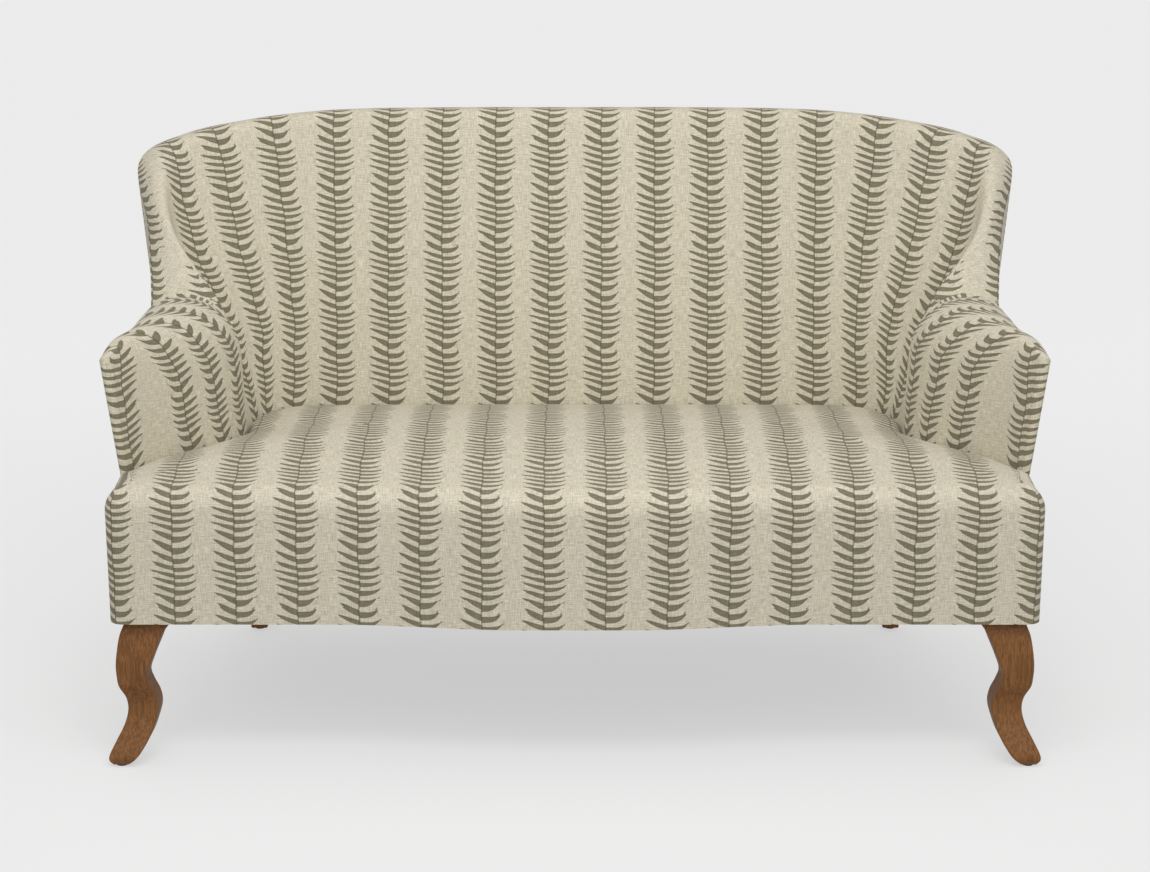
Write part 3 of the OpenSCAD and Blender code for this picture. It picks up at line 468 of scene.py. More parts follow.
def along(shares, s):
    """A smooth curve through a list, read at station s."""
    table = np.array(SHARES[shares] if isinstance(shares, str) else shares, float)
    s = np.asarray(s, float)
    last = len(table) - 1
    i = np.clip(np.floor(s).astype(int), 0, last - 1)
    t = s - i
    a, b, c, d = table[np.maximum(i - 1, 0)], table[i], table[i + 1], table[np.minimum(i + 2, last)]
    return (2 * b + (c - a) * t + (2 * a - 5 * b + 4 * c - d) * t**2 + (3 * b - a - 3 * c + d) * t**3) / 2


def tuck_sink(s):
    """How far the tuck between arm and wing pulls the cover in."""
    return TUCK_SINK * (1 - smooth(np.abs(s - ARM) / TUCK_REACH))


def spot(name, s, half, depth, z):
    """Where a named point of each station lies, at a height."""
    return np.stack([along(name + "_x", s) * half, along(name + "_y", s) * depth, z + 0 * s], -1)


def stations(s):
    """The points that a section hangs on, and the way outwards, at each station."""
    crest_z = ARM_HEIGHT + along("rise", s) * (BACK_HEIGHT - ARM_HEIGHT)
    base = spot("base", s, SEAT_HALF, SEAT_DEPTH, BASE)
    crest = spot("crest", s, CREST_HALF, CREST_DEPTH, crest_z)
    edge = spot("edge", s, CREST_HALF, EDGE_DEPTH, crest_z - along("edge_drop", s) * EDGE_DROP)
    foot = spot("foot", s, FOOT_HALF, FOOT_DEPTH, LEG_HEIGHT)
    outward = (crest - base) * [1, 1, 0]
    outward /= np.linalg.norm(outward, axis=1)[:, None]
    base = base + outward * tuck_sink(s)[:, None]
    crest = crest - tuck_sink(s)[:, None] * [0, 0, 1]
    spring = mix(base, crest, along("spring", s)[:, None])
    spring[:, 2] = crest[:, 2] - mix(RIM_ROLL, ARM_ROLL, along("roll", s))
    return Station(base, spring, crest, edge, foot, outward)


print("crest:", np.round(stations(np.array([1.0, 6.0, 8.0, 13.0])).crest, 3).tolist())

# %% [markdown]
# A section is hung on the points of a station: a face that may flare, a quarter round up to the crest, and
# another over to the outer edge. Its level counts from 0 at the seat to 3 where the face ends, 4 at the crest
# and 5 at the outer edge.


# %% Sections
def lean(a, b, plan_share, height_share):
    """A point between two, with one share in plan and another in height."""
    return np.concatenate([mix(a, b, plan_share)[..., :2], mix(a, b, height_share)[..., 2:]], -1)


def section(base, spring, crest, edge, flare, v):
    """The face, the roll and the way over to the outer edge, for every station and level at once."""
    b, p, c, e = (x[:, None, :] for x in (base, spring, crest, edge))
    v = v[None, :, None]
    t = np.clip(v / 3, 0, 1)
    up = np.radians(90 * np.clip(v - 3, 0, 1))
    over = np.radians(90 * np.clip(v - 4, 0, 1))
    face = lean(b, p, mix(t, smooth(t), flare[:, None, None]), t)
    roll = lean(p, c, 1 - np.cos(up), np.sin(up))
    brim = lean(c, e, np.sin(over), 1 - np.cos(over))
    return np.where(v <= 3, face, np.where(v <= 4, roll, brim))


def inside(s, v):
    """The inside covers, with the soft bulge of the back."""
    at = stations(s)
    points = section(at.base, at.spring, at.crest, at.edge, along("flare", s), v)
    swell = along("bulge", s)[:, None] * np.where(v < 3, np.sin(np.radians(60 * v)), 0)[None, :]
    return points - at.outward[:, None, :] * swell[..., None] * BACK_BULGE


def outside(s, t):
    """The outside covers, from the bottom of the rails at 0 to the edge under the roll at 1."""
    at = stations(s)
    return mix(at.foot[:, None, :], at.edge[:, None, :] - [0, 0, 2 * CLEAR], t[None, :, None])


print("back:", np.round(inside(np.array([1.0]), np.array([0.0, 3.0, 4.0]))[0], 3).tolist())

# %% [markdown]
# A padded piece is as thick as cover and padding together, so its inner side lies as deep as the CAD padding
# does. The padding is thinner on the arms and nearly ends at their front.

# %% Inner side of the padding
BACK_PADDING, ARM_PADDING, RIM_PADDING, ARM_TOP_PADDING = 0.046, 0.038, 0.013, 0.022
EDGE_PADDING, NOSE_START, NOSE_PADDING_SHARE = 0.004, 10, 0.16
CORE_CREST_SHARE, FACE_PADDING_SHARE = 0.35, 0.8


def core(s, v):
    """The padding's inner side, as deep as the CAD padding."""
    at = stations(s)
    nose = mix(1, NOSE_PADDING_SHARE, np.clip((s - NOSE_START) / (FRONT - NOSE_START), 0, 1))
    by_arm = smooth((s - WING) / 2)
    pad = (mix(BACK_PADDING, ARM_PADDING, by_arm) * nose + COVER + CLEAR)[:, None]
    top = mix(RIM_PADDING, ARM_TOP_PADDING, by_arm) * nose + COVER + CLEAR
    rim = (EDGE_PADDING * nose + COVER + CLEAR)[:, None]
    crest = mix(at.crest, at.edge, CORE_CREST_SHARE)
    crest[:, 2] = at.crest[:, 2] - top
    spring = at.spring + at.outward * mix(COVER, pad, FACE_PADDING_SHARE)
    edge = at.edge - at.outward * rim - [0, 0, 1] * rim
    return section(at.base + at.outward * pad, spring, crest, edge, along("flare", s), v)


print("padding: back", BACK_PADDING, "m, arms", ARM_PADDING, "m")

# %% [markdown]
# A skin is a grid of points with a second grid behind it, closed along its edges, so that it is a solid sheet
# and not a film. Normals are worked out again and turned outwards, because a mirrored grid comes inside out.

# %% Skins
SHARP_ANGLE = math.radians(50)


def fresh(name, points, faces):
    """A new, smooth shaded piece whose faces point outwards."""
    mesh = bpy.data.meshes.new(name)
    mesh.from_pydata([tuple(map(float, p)) for p in points], [], faces)
    made = put_in_scene(name, mesh)
    work = bmesh.new()
    work.from_mesh(mesh)
    bmesh.ops.recalc_face_normals(work, faces=work.faces)
    if work.calc_volume(signed=True) < 0:
        bmesh.ops.reverse_faces(work, faces=work.faces)
    work.to_mesh(mesh)
    work.free()
    mesh.shade_smooth()
    mesh.set_sharp_from_angle(angle=SHARP_ANGLE)
    return made


def dress(made, finish, slot, *nodes):
    """Gives a piece its finish, lets it ride on the frame and hides the CAD nodes it stands for."""
    made.data.materials.append(finish)
    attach(made, "root")
    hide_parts(*nodes)


def grid_faces(n, m, shift=0):
    """The four sided faces of a grid of n by m points."""
    corners = [shift + i * m + j for i in range(n - 1) for j in range(m - 1)]
    return [(a, a + m, a + m + 1, a + 1) for a in corners]


def skin(name, front, back):
    """A closed skin between two grids."""
    n, m, _ = front.shape
    k = n * m
    rim = [i * m for i in range(n)] + [(n - 1) * m + j for j in range(1, m)]
    rim += [i * m + m - 1 for i in range(n - 2, -1, -1)] + list(range(m - 2, 0, -1))
    sides = [(a, b, k + b, k + a) for a, b in zip(rim, rim[1:] + rim[:1])]
    faces = grid_faces(n, m) + [f[::-1] for f in grid_faces(n, m, k)] + sides
    return fresh(name, np.concatenate([front.reshape(-1, 3), back.reshape(-1, 3)]), faces)


def to_row(points):
    """From depths behind the seat front to the frame's own middle."""
    return points - np.array([0, MIDDLE, 0])


def mirrored(grid, turned=False):
    """The left half in front of the right one, with X, or a count that is turned, changing sign."""
    left = grid[:0:-1].copy()
    if grid.ndim == 3:
        left[..., 0] *= -1
    elif turned:
        left *= -1
    return np.concatenate([left, grid])


print("skin helpers ready")

# %% [markdown]
# Each point of the cloth also carries where it lies: which stripe (a number that passes a half at every
# stem), how far along the stem, how wide a stripe is there, and its place in metres for the weave. They are
# kept as two UV maps and one attribute, so the pattern follows the cloth and not the room.

# %% Cloth on a skin
PITCH_LIMITS = (0.04, 0.22)


def lay_cloth(made, stripe_place, cloth_place, pitch):
    """Writes the cloth's coordinates on a piece, one row for each of its points."""
    mesh = made.data
    loops = np.zeros(len(mesh.loops), int)
    mesh.loops.foreach_get("vertex_index", loops)
    for label, values in (("stripe", stripe_place), ("cloth", cloth_place)):
        layer = mesh.uv_layers.new(name=label)
        layer.data.foreach_set("uv", np.asarray(values, np.float32)[loops].ravel())
    widths = mesh.attributes.new("pitch", "FLOAT", "POINT")
    widths.data.foreach_set("value", np.asarray(pitch, np.float32))


def run_along(points, axis):
    """Distance run from the first row, along one side of a grid."""
    step = np.linalg.norm(np.diff(points, axis=axis), axis=-1)
    pad = [(0, 0), (0, 0)]
    pad[axis] = (1, 0)
    return np.pad(np.cumsum(step, axis=axis), pad)


def stripe_pitch(points, count):
    """Real width of a stripe at each point: one over the slope of the stripe count on the surface."""
    ps, pv = np.gradient(points, axis=0), np.gradient(points, axis=1)
    ks, kv = np.gradient(count, axis=0), np.gradient(count, axis=1)
    e, f, g = (ps * ps).sum(-1), (ps * pv).sum(-1), (pv * pv).sum(-1)
    area = np.maximum(e * g - f * f, 1e-16)
    slope = np.maximum(g * ks * ks - 2 * f * ks * kv + e * kv * kv, 1e-12) / area
    return np.clip(1 / np.sqrt(slope), *PITCH_LIMITS)


def clad(name, front, back, count, run, pitch, nodes):
    """Makes a skin, lays the cloth on it and ties it to the frame."""
    made = skin(name, to_row(front), to_row(back))
    across = np.repeat(run_along(front, 0).mean(axis=1)[:, None], front.shape[1], axis=1)
    stripe_place = np.stack([count, run], -1).reshape(-1, 2)
    cloth_place = np.stack([across, run_along(front, 1)], -1).reshape(-1, 2)
    lay_cloth(made, np.tile(stripe_place, (2, 1)), np.tile(cloth_place, (2, 1)), np.tile(pitch.ravel(), 2))
    dress(made, cover, "cover", *nodes)
    return made


print("cloth helpers ready")

# %% [markdown]
# On the back the stripes stand upright and close up round the corners. This small table says which stripe
# lies at each station, in rows that go up the section. Near the wings the leaflets keep level with those
# beside them, because the cloth there is cut and not bent.

# %% Inside back
BACK_ROWS = [0, 0.7, 1.3, 2.1, 2.9, 3.6, 4.2, 5]
BACK_STRIPES = [
    [-2.3, 0, 2.3, 4.25, 5.25, 6.15, 7.1, 7.4, 7.5],
    [-2.3, 0, 2.3, 4.28, 5.38, 6.4, 7.65, 7.8, 7.5],
    [-2.29, 0, 2.29, 4.3, 5.58, 6.85, 7.85, 7.7, 7.5],
    [-2.28, 0, 2.28, 4.32, 5.61, 6.72, 7.62, 8.1, 7.4],
    [-2.28, 0, 2.28, 4.34, 5.62, 6.78, 7.7, 8.0, 7.3],
    [-2.28, 0, 2.28, 4.35, 5.62, 6.8, 7.82, 7.9, 7.45],
    [-2.27, 0, 2.27, 4.36, 5.65, 6.88, 8.05, 8.22, 8.1],
    [-2.27, 0, 2.27, 4.36, 5.65, 6.95, 8.3, 8.55, 8.55],
]
CLIMB_START, CLIMB_RUN = 4.8, 2.0
JOINT, TUCK_START = 0.006, 0.5
BACK_SOFTENING, ARM_SOFTENING = 24, 6


def stripe_count(rows, tables, s, v):
    """Which stripe lies at each station and level."""
    values = np.stack([along(t, s) for t in tables], -1)
    return np.stack([np.interp(v, rows, line) for line in values])


def soften(grid, passes):
    """Rounds a grid up its sections, where a straight face meets the roll, and leaves its two ends."""
    soft = grid.copy()
    for _ in range(passes):
        soft[:, 1:-1] = (soft[:, :-2] + 2 * soft[:, 1:-1] + soft[:, 2:]) / 4
    return soft


levels = np.concatenate([np.linspace(0, 3, 31), np.linspace(3, 5, 25)[1:]])
back_s = np.linspace(FIRST, ARM - TUCK_START, 66)
back_s = np.concatenate([back_s, np.linspace(ARM - TUCK_START, ARM - JOINT, 12)[1:]])
front, back = soften(inside(back_s, levels), BACK_SOFTENING), core(back_s, levels)
count = stripe_count(BACK_ROWS, BACK_STRIPES, back_s, levels)
pitch = stripe_pitch(front, count)
climb = smooth((back_s - CLIMB_START) / CLIMB_RUN)[:, None]
run = mix(run_along(front, 1), front[..., 2] - BASE, climb)
inside_back = clad(
    "inside_back_upholstery", mirrored(front), mirrored(back), mirrored(count, True), mirrored(run),
    mirrored(pitch), ["inside_back_cover", "back_foam"],
)
print("inside back:", len(inside_back.data.vertices), "points, pitch", round(float(np.median(pitch)), 4))

# %% [markdown]
# The front of an arm thins to an edge, where the cloth turns in a narrow half round from the inner face to
# the outside. So the loft simply goes on past its last station, over the nose.

# %% Nose of an arm
NOSE_REACH = 0.009
arm_s = np.linspace(ARM + JOINT, ARM + TUCK_START, 12)
arm_s = np.concatenate([arm_s, np.linspace(ARM + TUCK_START, FRONT, 46)[1:]])
arm_front, arm_back = soften(inside(arm_s, levels), ARM_SOFTENING), core(arm_s, levels)


def nose_rows(face):
    """Rows of points from the last inner row, round the nose, to the outside."""
    end = stations(np.array([float(FRONT)]))
    top, bottom = end.edge[0], end.foot[0]
    outer = mix(top, bottom, np.clip((top[2] - face[:, 2]) / (top[2] - bottom[2]), 0, 1)[:, None])
    outer[:, 2] = np.minimum(face[:, 2], top[2] - 2 * CLEAR)
    middle, half = (face + outer) / 2, (face - outer) / 2
    reach = np.minimum(np.linalg.norm(half, axis=1), NOSE_REACH)
    rows = []
    for angle in np.radians(np.arange(18, 181, 18)):
        row = middle + half * math.cos(angle)
        row[:, 1] -= reach * math.sin(angle)
        rows.append(row)
    return np.stack(rows)


nose = nose_rows(arm_front[-1])
arm_grid = np.concatenate([arm_front, nose])
arm_core = np.concatenate([arm_back, np.repeat(arm_back[-1][None], len(nose), axis=0)])
print("arm:", arm_grid.shape[0], "rows of", arm_grid.shape[1], "points")

# %% [markdown]
# On an arm the stripes climb the inner face, bend over the roll and crowd together in the tuck, because the
# cloth is pulled in there. The left arm is the right one with X turned over.

# %% Inside arms
ARM_ROWS = [0, 1.5, 3, 3.5, 4, 5]
ARM_STRIPES = [
    [4.75, 3.74, 2.72, 1.84, 1.36, 0.92],
    [4.75, 3.74, 2.72, 1.84, 1.36, 0.92],
    [4.9, 3.9, 3.0, 2.0, 1.42, 0.9],
    [5.6, 4.56, 3.47, 2.3, 1.5, 0.8],
    [6.2, 5.1, 4.05, 2.85, 1.6, 0.6],
    [6.7, 5.6, 4.6, 3.3, 1.9, 0.75],
]
PLAIN_PITCH = 0.095
count = stripe_count(ARM_ROWS, ARM_STRIPES, arm_s - ARM, levels) - 0.5
pitch = np.concatenate([stripe_pitch(arm_front, count), np.full(nose.shape[:2], PLAIN_PITCH)])
count = np.concatenate([count, count[-1][None] - np.linspace(0.02, 0.2, len(nose))[:, None]])
run = run_along(arm_grid, 1)
SIDES = (("right", np.array([1, 1, 1])), ("left", np.array([-1, 1, 1])))
for label, flip in SIDES:
    made = clad(
        label + "_arm_upholstery", arm_grid * flip, arm_core * flip, count * flip[0], run, pitch,
        [label + "_inside_arm_cover", label + "_arm_foam"],
    )
    print(made.name, len(made.data.vertices), "points")

# %% [markdown]
# The outside is plain tailoring: two side panels and one back panel, stretched from the bottom rail to the
# edge under the roll and sewn there by hand, with the stripes upright. A little cloth turns under the rails.
# Cloth held this tightly has no folds, so the panels follow the loft and need no simulation.

# %% Outside covers
HEM, HEM_DROP, HEM_CLOTH = 0.011, 0.0007, 0.0004
HEM_CORNER, CORNER_CLOTH = 0.0008, 0.001
SIDE_STRIPE_START = 0.35


def outside_panel(s, whole):
    """The two grids of a panel with its hem, the stripe count and the run up the cloth."""
    outer = outside(s, np.linspace(0, 1, 25))
    way = np.gradient(outer, axis=0)
    inward = np.stack([-way[..., 1], way[..., 0], 0 * way[..., 0]], -1)
    inward /= np.linalg.norm(inward, axis=-1)[..., None]
    centre = np.array([0, SEAT_DEPTH / 2, 0]) - outer
    inward *= np.sign((inward * centre * [1, 1, 0]).sum(-1))[..., None]
    low, low_inward = outer[:, :1] - [0, 0, HEM_DROP], inward[:, :1]
    under, corner = low + low_inward * HEM, low + low_inward * HEM_CORNER
    front = np.concatenate([under, corner, outer], axis=1)
    corner_back = corner + low_inward * CORNER_CLOTH + [0, 0, HEM_CLOTH]
    back = np.concatenate([under + [0, 0, HEM_CLOTH], corner_back, outer + inward * COVER], axis=1)
    if whole:
        front, back = mirrored(front), mirrored(back)
    across = run_along(front, 0).mean(axis=1)
    start = -across[len(across) // 2] / PLAIN_PITCH if whole else SIDE_STRIPE_START
    count = np.repeat((across / PLAIN_PITCH + start)[:, None], front.shape[1], axis=1)
    return front, back, count, run_along(front, 1)


def hang_panel(name, front, back, count, run, node):
    made = clad(name, front, back, count, run, np.full(count.shape, PLAIN_PITCH), [node])


front, back, count, run = outside_panel(np.linspace(FIRST, WING, 52), True)
hang_panel(
    "outside_back_panel", front, back, count, run, "outside_back_cover"
)
front, back, count, run = outside_panel(np.linspace(WING + JOINT, FRONT, 72), False)
for label, flip in SIDES:
    hang_panel(
        label + "_outside_panel", front * flip, back * flip, count * flip[0], run,
        label + "_outside_arm_cover",
    )

# %% [markdown]
# The seat is one tight, domed pad. Its outline follows the inside covers, passes in front of the arms as two
# small ears and bows out in the middle. The outline is drawn at any height and any inset, so one function
# gives every ring of the seat.

# %% Seat outline
CORNER, LEAST_CORNER, SEAT_GAP, EAR_GAP = 0.024, 0.003, 0.003, 0.002
BOW_FLAT, BOW_END, STRAIGHT_END = 0.11, 0.52, 0.01
SIDE_STEPS = ((FIRST, ARM - TUCK_START, 53), (ARM + TUCK_START, 12.95, 36))
WALL_STEPS = ((0.955, 0.55, 20), (0.53, 0.08, 34), (0.06, 0, 4))
side_s = np.concatenate([np.linspace(*step) for step in SIDE_STEPS])
wall_shares = np.concatenate([np.linspace(*step) for step in WALL_STEPS])
ear_y = float(inside(np.array([float(FRONT)]), np.array([0.0]))[0, 0, 1]) - EAR_GAP


def bow(x):
    """How far the front stands out at a place along it."""
    return -FRONT_BOW * (1 - smooth((np.abs(x) / SEAT_HALF - BOW_FLAT) / (BOW_END - BOW_FLAT)))


def side_points(z, inset):
    """The outline along the inside covers, just clear of them."""
    at = stations(side_s)
    z, inset = np.broadcast_to(z, side_s.shape), np.broadcast_to(inset, side_s.shape)
    v = 3 * (z - at.base[:, 2]) / (at.spring[:, 2] - at.base[:, 2])
    face = np.stack([inside(side_s[i : i + 1], v[i : i + 1])[0, 0] for i in range(len(side_s))])
    points = face - at.outward * (SEAT_GAP + inset + tuck_sink(side_s))[:, None]
    points[:, 2] = z
    return points


def front_points(z, inset):
    """The ear in front of an arm, the short side, the corner and the bowed front up to its middle."""
    r = max(CORNER - inset, LEAST_CORNER)
    side_x, ear_top, turn = SEAT_HALF - inset, ear_y - inset, CORNER / 2
    ear = [[side_x - turn, ear_top], [side_x - turn * 0.3, ear_top - turn * 0.3], [side_x, ear_top - turn]]
    straight = [[side_x, y] for y in np.linspace(ear_top - turn * 1.5, inset + r + STRAIGHT_END, 8)]
    angles = np.radians(np.linspace(0, 90, 10))
    corner = [[side_x - r + r * math.cos(a), inset + r - r * math.sin(a)] for a in angles]
    x = wall_shares * side_x
    front = [[k, b + inset] for k, b in zip(x, bow(x))]
    plan = np.array(ear + straight + corner + front)
    return np.concatenate([plan, np.full((len(plan), 1), z)], axis=1)


side_count, wall_count = len(side_s), len(front_points(0, 0))
half_size = side_count + wall_count
print("seat outline:", half_size, "points in half of it, ears end", round(ear_y, 3), "m behind the front")

# %% [markdown]
# Rings run up the seat's wall, over the rounded edge and in to the middle of the dome, so the crown stays
# smooth. The edge is a wide waterfall in front and a tight tuck along the arms. Further in, each ring is
# smoothed in plan more than the last, which lets the ears fade into the dome.

# %% Seat rings
WATERFALL, TUCK, TUCK_TOP = 0.040, 0.024, 0.026
HEART_X_SHARE, HEART_Y = 0.5, SEAT_DEPTH * 0.52
WALL_LEVELS, DOME_RINGS, DOME_END, DOME_EASE = (0.33, 0.66), 34, 0.985, 1.15
WALL_RINGS = 2 + len(WALL_LEVELS)
fade = np.clip(np.arange(1, wall_count + 1) / 8, 0, 1)
waterfall = np.concatenate([np.full(side_count, TUCK), mix(TUCK, WATERFALL, fade)])
turns = np.radians(np.linspace(0, 90, 11))
inward_shares = 1 - (1 - np.linspace(0, DOME_END, DOME_RINGS)) ** DOME_EASE
FIRST_TOP = WALL_RINGS + len(turns)


def seat_ring(angle, depth):
    """Half a ring on the rounded edge, at an angle from the wall."""
    inset = depth + (waterfall - depth) * (1 - math.cos(angle))
    z = SEAT_EDGE - waterfall + (waterfall - depth) * math.sin(angle)
    sides = side_points(z[:side_count], inset[:side_count])
    walls = [front_points(z[k + side_count], inset[k + side_count])[k] for k in range(wall_count)]
    return np.concatenate([sides, np.stack(walls)])


def low_ring(depth, hem, drop):
    """Half a ring at the bottom of the wall."""
    return np.concatenate([side_points(BASE + TUCK_TOP, depth), front_points(LEG_HEIGHT - drop, depth + hem)])


def whole_ring(half):
    """Half a ring and its mirror image."""
    turned = half[-2:0:-1] * [-1, 1, 1]
    return np.concatenate([half, turned])


def seat_rings(depth):
    """All rings of the seat, at a depth under its surface."""
    low, high = low_ring(depth, 0, 0), seat_ring(0, depth)
    halves = [low_ring(depth, HEM, HEM_DROP), low]
    for share in WALL_LEVELS:
        wall = mix(low, high, share)
        wall[:side_count] = side_points(wall[:side_count, 2], depth)
        halves.append(wall)
    halves += [seat_ring(angle, depth) for angle in turns]
    top = halves[-1]
    heart = top * [HEART_X_SHARE, 0, 1] + [0, HEART_Y, 0]
    for k in inward_shares[1:]:
        ring = mix(top, heart, k)
        ring[:, 2] = top[:, 2] + SEAT_CROWN * (1 - (1 - k) ** 2)
        halves.append(ring)
    rings = np.stack([whole_ring(half) for half in halves])
    for i, ring in enumerate(rings[FIRST_TOP:]):
        for _ in range(2 * i + 2):
            ring[:, :2] = (np.roll(ring, 1, axis=0) + 2 * ring + np.roll(ring, -1, axis=0))[:, :2] / 4
    return rings


outer_rings, inner_rings = seat_rings(0.0), seat_rings(COVER)
ring_total, ring_size, _ = outer_rings.shape
print("seat rings:", ring_total, "of", ring_size, "points")

# %% [markdown]
# The seat's stripes run straight back over it and spread a little, as cloth does that is pulled over a dome.
# On the front wall the cloth comes down plumb. Round the corners it is wrapped, so there the stripes are
# counted by walking along the wall, up to the point where the edge has turned halfway over.

# %% Cloth on the seat
PITCH, SPREAD, SPREAD_DEPTH, BOW_FADE = 0.0966, 0.045, 0.574, 0.2
CORNER_END = math.radians(50)
EDGE_RISE = SEAT_EDGE - WATERFALL - LEG_HEIGHT + WATERFALL * math.pi / 2
edge_ring = outer_rings[WALL_RINGS]
steps = np.linalg.norm(np.diff(edge_ring[side_count:half_size, :2], axis=0), axis=1)
walk = np.zeros(half_size)
walk[side_count:] = np.cumsum(np.concatenate([[0], steps[::-1]]))[::-1]
walk = np.concatenate([walk, walk[-2:0:-1]]) * np.sign(edge_ring[:, 0])
on_front = np.zeros(ring_size, bool)
on_front[side_count : half_size + wall_count - 1] = True
on_corner = on_front & (np.abs(edge_ring[:, 0]) > SEAT_HALF - CORNER * 1.2)
edge_radius = np.concatenate([waterfall, waterfall[-2:0:-1]])


def ring_cloth(i):
    """The stripe count and the run along the stripes, on ring i."""
    x, y, z = outer_rings[i].T
    angle = turns[i - WALL_RINGS] if WALL_RINGS <= i < FIRST_TOP else 0.0
    count = x / (PITCH * (1 + SPREAD * np.clip(y / SPREAD_DEPTH, 0, 1)))
    if i < FIRST_TOP and angle < CORNER_END:
        count = np.where(on_corner, walk / PITCH, count)
    laid = EDGE_RISE + y - bow(x) * (1 - smooth(y / BOW_FADE)) - WATERFALL
    if i >= FIRST_TOP - 1:
        return count, laid
    up_wall = z - LEG_HEIGHT
    if i >= WALL_RINGS:
        up_wall = np.where(on_front, SEAT_EDGE - edge_radius - LEG_HEIGHT + edge_radius * angle, up_wall)
    return count, up_wall if i < 2 else np.where(on_front, up_wall, laid)


stripe_place = np.concatenate([np.stack(ring_cloth(i), -1) for i in range(ring_total)])
print("seat stripes:", round(float(np.ptp(stripe_place[:, 0])), 1), "across")

# %% [markdown]
# The rings are joined into two skins, each closed by one point at the crown, and the skins are joined along
# their lowest ring.


# %% Seat
def round_pairs(size):
    """Each point of a closed ring with the next one."""
    return [(j, (j + 1) % size) for j in range(size)]


def tube_faces(start, size, total):
    """The faces between closed rings that follow each other."""
    rings = range(start, start + (total - 1) * size, size)
    return [(r + a, r + b, r + b + size, r + a + size) for r in rings for a, b in round_pairs(size)]


def dome_faces(start):
    """The faces between the seat's rings, and the fan that closes them at the crown."""
    last = start + (ring_total - 1) * ring_size
    fan = [(last + a, last + b, last + ring_size) for a, b in round_pairs(ring_size)]
    return tube_faces(start, ring_size, ring_total) + fan


peak = np.array([[0, HEART_Y, SEAT_EDGE + SEAT_CROWN]])
peak_place = [[0.0, EDGE_RISE + peak[0, 1] - WATERFALL]]
skins = [outer_rings.reshape(-1, 3), peak, inner_rings.reshape(-1, 3), peak - [0, 0, COVER]]
total = ring_total * ring_size + 1
joined = [(a, b, total + b, total + a) for a, b in round_pairs(ring_size)]
faces = dome_faces(0) + dome_faces(total) + joined
seat = fresh("seat_upholstery", to_row(np.concatenate(skins)), faces)
stripe_place = np.tile(np.concatenate([stripe_place, peak_place]), (2, 1))
lay_cloth(seat, stripe_place, stripe_place * [PITCH, 1], np.full(2 * total, PITCH))
dress(seat, cover, "cover", "seat_cover", "seat_foam")
print("seat:", len(seat.data.vertices), "points, crown", SEAT_CROWN, "m")

# %% [markdown]
# A front leg is sawn from a square blank to the same wavy outline from two sides, then its corners are eased.
# Every level is therefore a rounded square between the outer and the inner curve. Lofting those squares gives
# the real shape with clean, soft edges that catch the light.

# %% Legs
LEG_LEVELS = [1, 0.973, 0.9, 0.8, 0.7, 0.617, 0.54, 0.447, 0.357, 0.26, 0.167, 0.077, 0.034, 0]
LEG_OUTER = [0.3, 0.273, 0.208, 0.166, 0.142, 0.146, 0.168, 0.252, 0.271, 0.217, 0.112, 0.012, 0, 0.045]
LEG_INNER = [1, 0.965, 0.848, 0.751, 0.66, 0.604, 0.64, 0.71, 0.732, 0.68, 0.6, 0.475, 0.39, 0.3]
BLANK, TOE_OVERHANG, TOE_LEAD, EASE = 0.104, 0.008, 0.008, 0.0035
MIRRORED = (("left", -1), ("right", 1))


def rounded_square(low, high, z, ease):
    """Points round a square that reaches from low to high in plan, with eased corners."""
    r = min(ease, (high[0] - low[0]) / 2.1)
    x0, y0, x1, y1 = low[0] + r, low[1] + r, high[0] - r, high[1] - r
    ring = []
    for x, y, start in ((x1, y1, 0), (x0, y1, 90), (x0, y0, 180), (x1, y0, 270)):
        angles = np.radians(np.linspace(start, start + 90, 6))
        ring += [(x + r * math.cos(a), y + r * math.sin(a), z) for a in angles]
    return ring


def leg(name, rings, node):
    """A wooden leg lofted through its rings."""
    size, last = len(rings[0]), (len(rings) - 1) * len(rings[0])
    faces = tube_faces(0, size, len(rings)) + [tuple(range(size)), tuple(range(last, last + size))]
    dress(fresh(name, to_row(np.array(sum(rings, []))), faces), leg_wood, "leg_wood", node)


for label, flip in MIRRORED:
    rings = []
    for k in np.linspace(0, len(LEG_LEVELS) - 1, 92):
        z = GLIDE + (LEG_HEIGHT - GLIDE) * float(along(LEG_LEVELS, k))
        near, far = BLANK * float(along(LEG_OUTER, k)), BLANK * float(along(LEG_INNER, k))
        x = sorted(flip * (SEAT_HALF + TOE_OVERHANG - reach) for reach in (near, far))
        rings.append(rounded_square((x[0], near - TOE_LEAD), (x[1], far - TOE_LEAD), z, EASE))
    leg(label + "_cabriole_leg", rings, label + "_front_leg")
print("front legs: blank", BLANK, "m square")

# %% [markdown]
# The rear legs are plain square tapers that rake backwards. Their place and rake are read from the CAD node.

# %% Rear legs
REAR_TOP_HALF, REAR_FOOT_HALF, REAR_EASE = 0.022, 0.015, 0.003
rear_low, rear_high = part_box("rear_legs")
rear_x = rear_high.x - REAR_TOP_HALF
rear_top_y, rear_foot_y = rear_low.y + MIDDLE + REAR_TOP_HALF, rear_high.y + MIDDLE - REAR_FOOT_HALF
for label, flip in MIRRORED:
    rings = []
    for k in np.linspace(0, 1, 12):
        half = mix(REAR_TOP_HALF, REAR_FOOT_HALF, k)
        x, y = flip * rear_x, mix(rear_top_y, rear_foot_y, k)
        z = mix(LEG_HEIGHT, GLIDE, k)
        rings.append(rounded_square((x - half, y - half), (x + half, y + half), z, REAR_EASE))
    leg(label + "_rear_leg", rings, "rear_legs")
print("rear legs: tops", round(rear_top_y, 3), "m behind the seat front")

# %% [markdown]
# Under the seat a black dust cloth hides the springs. It is held by wire staples, in lines along the rails
# that stop short of the legs. The lines are drawn first.

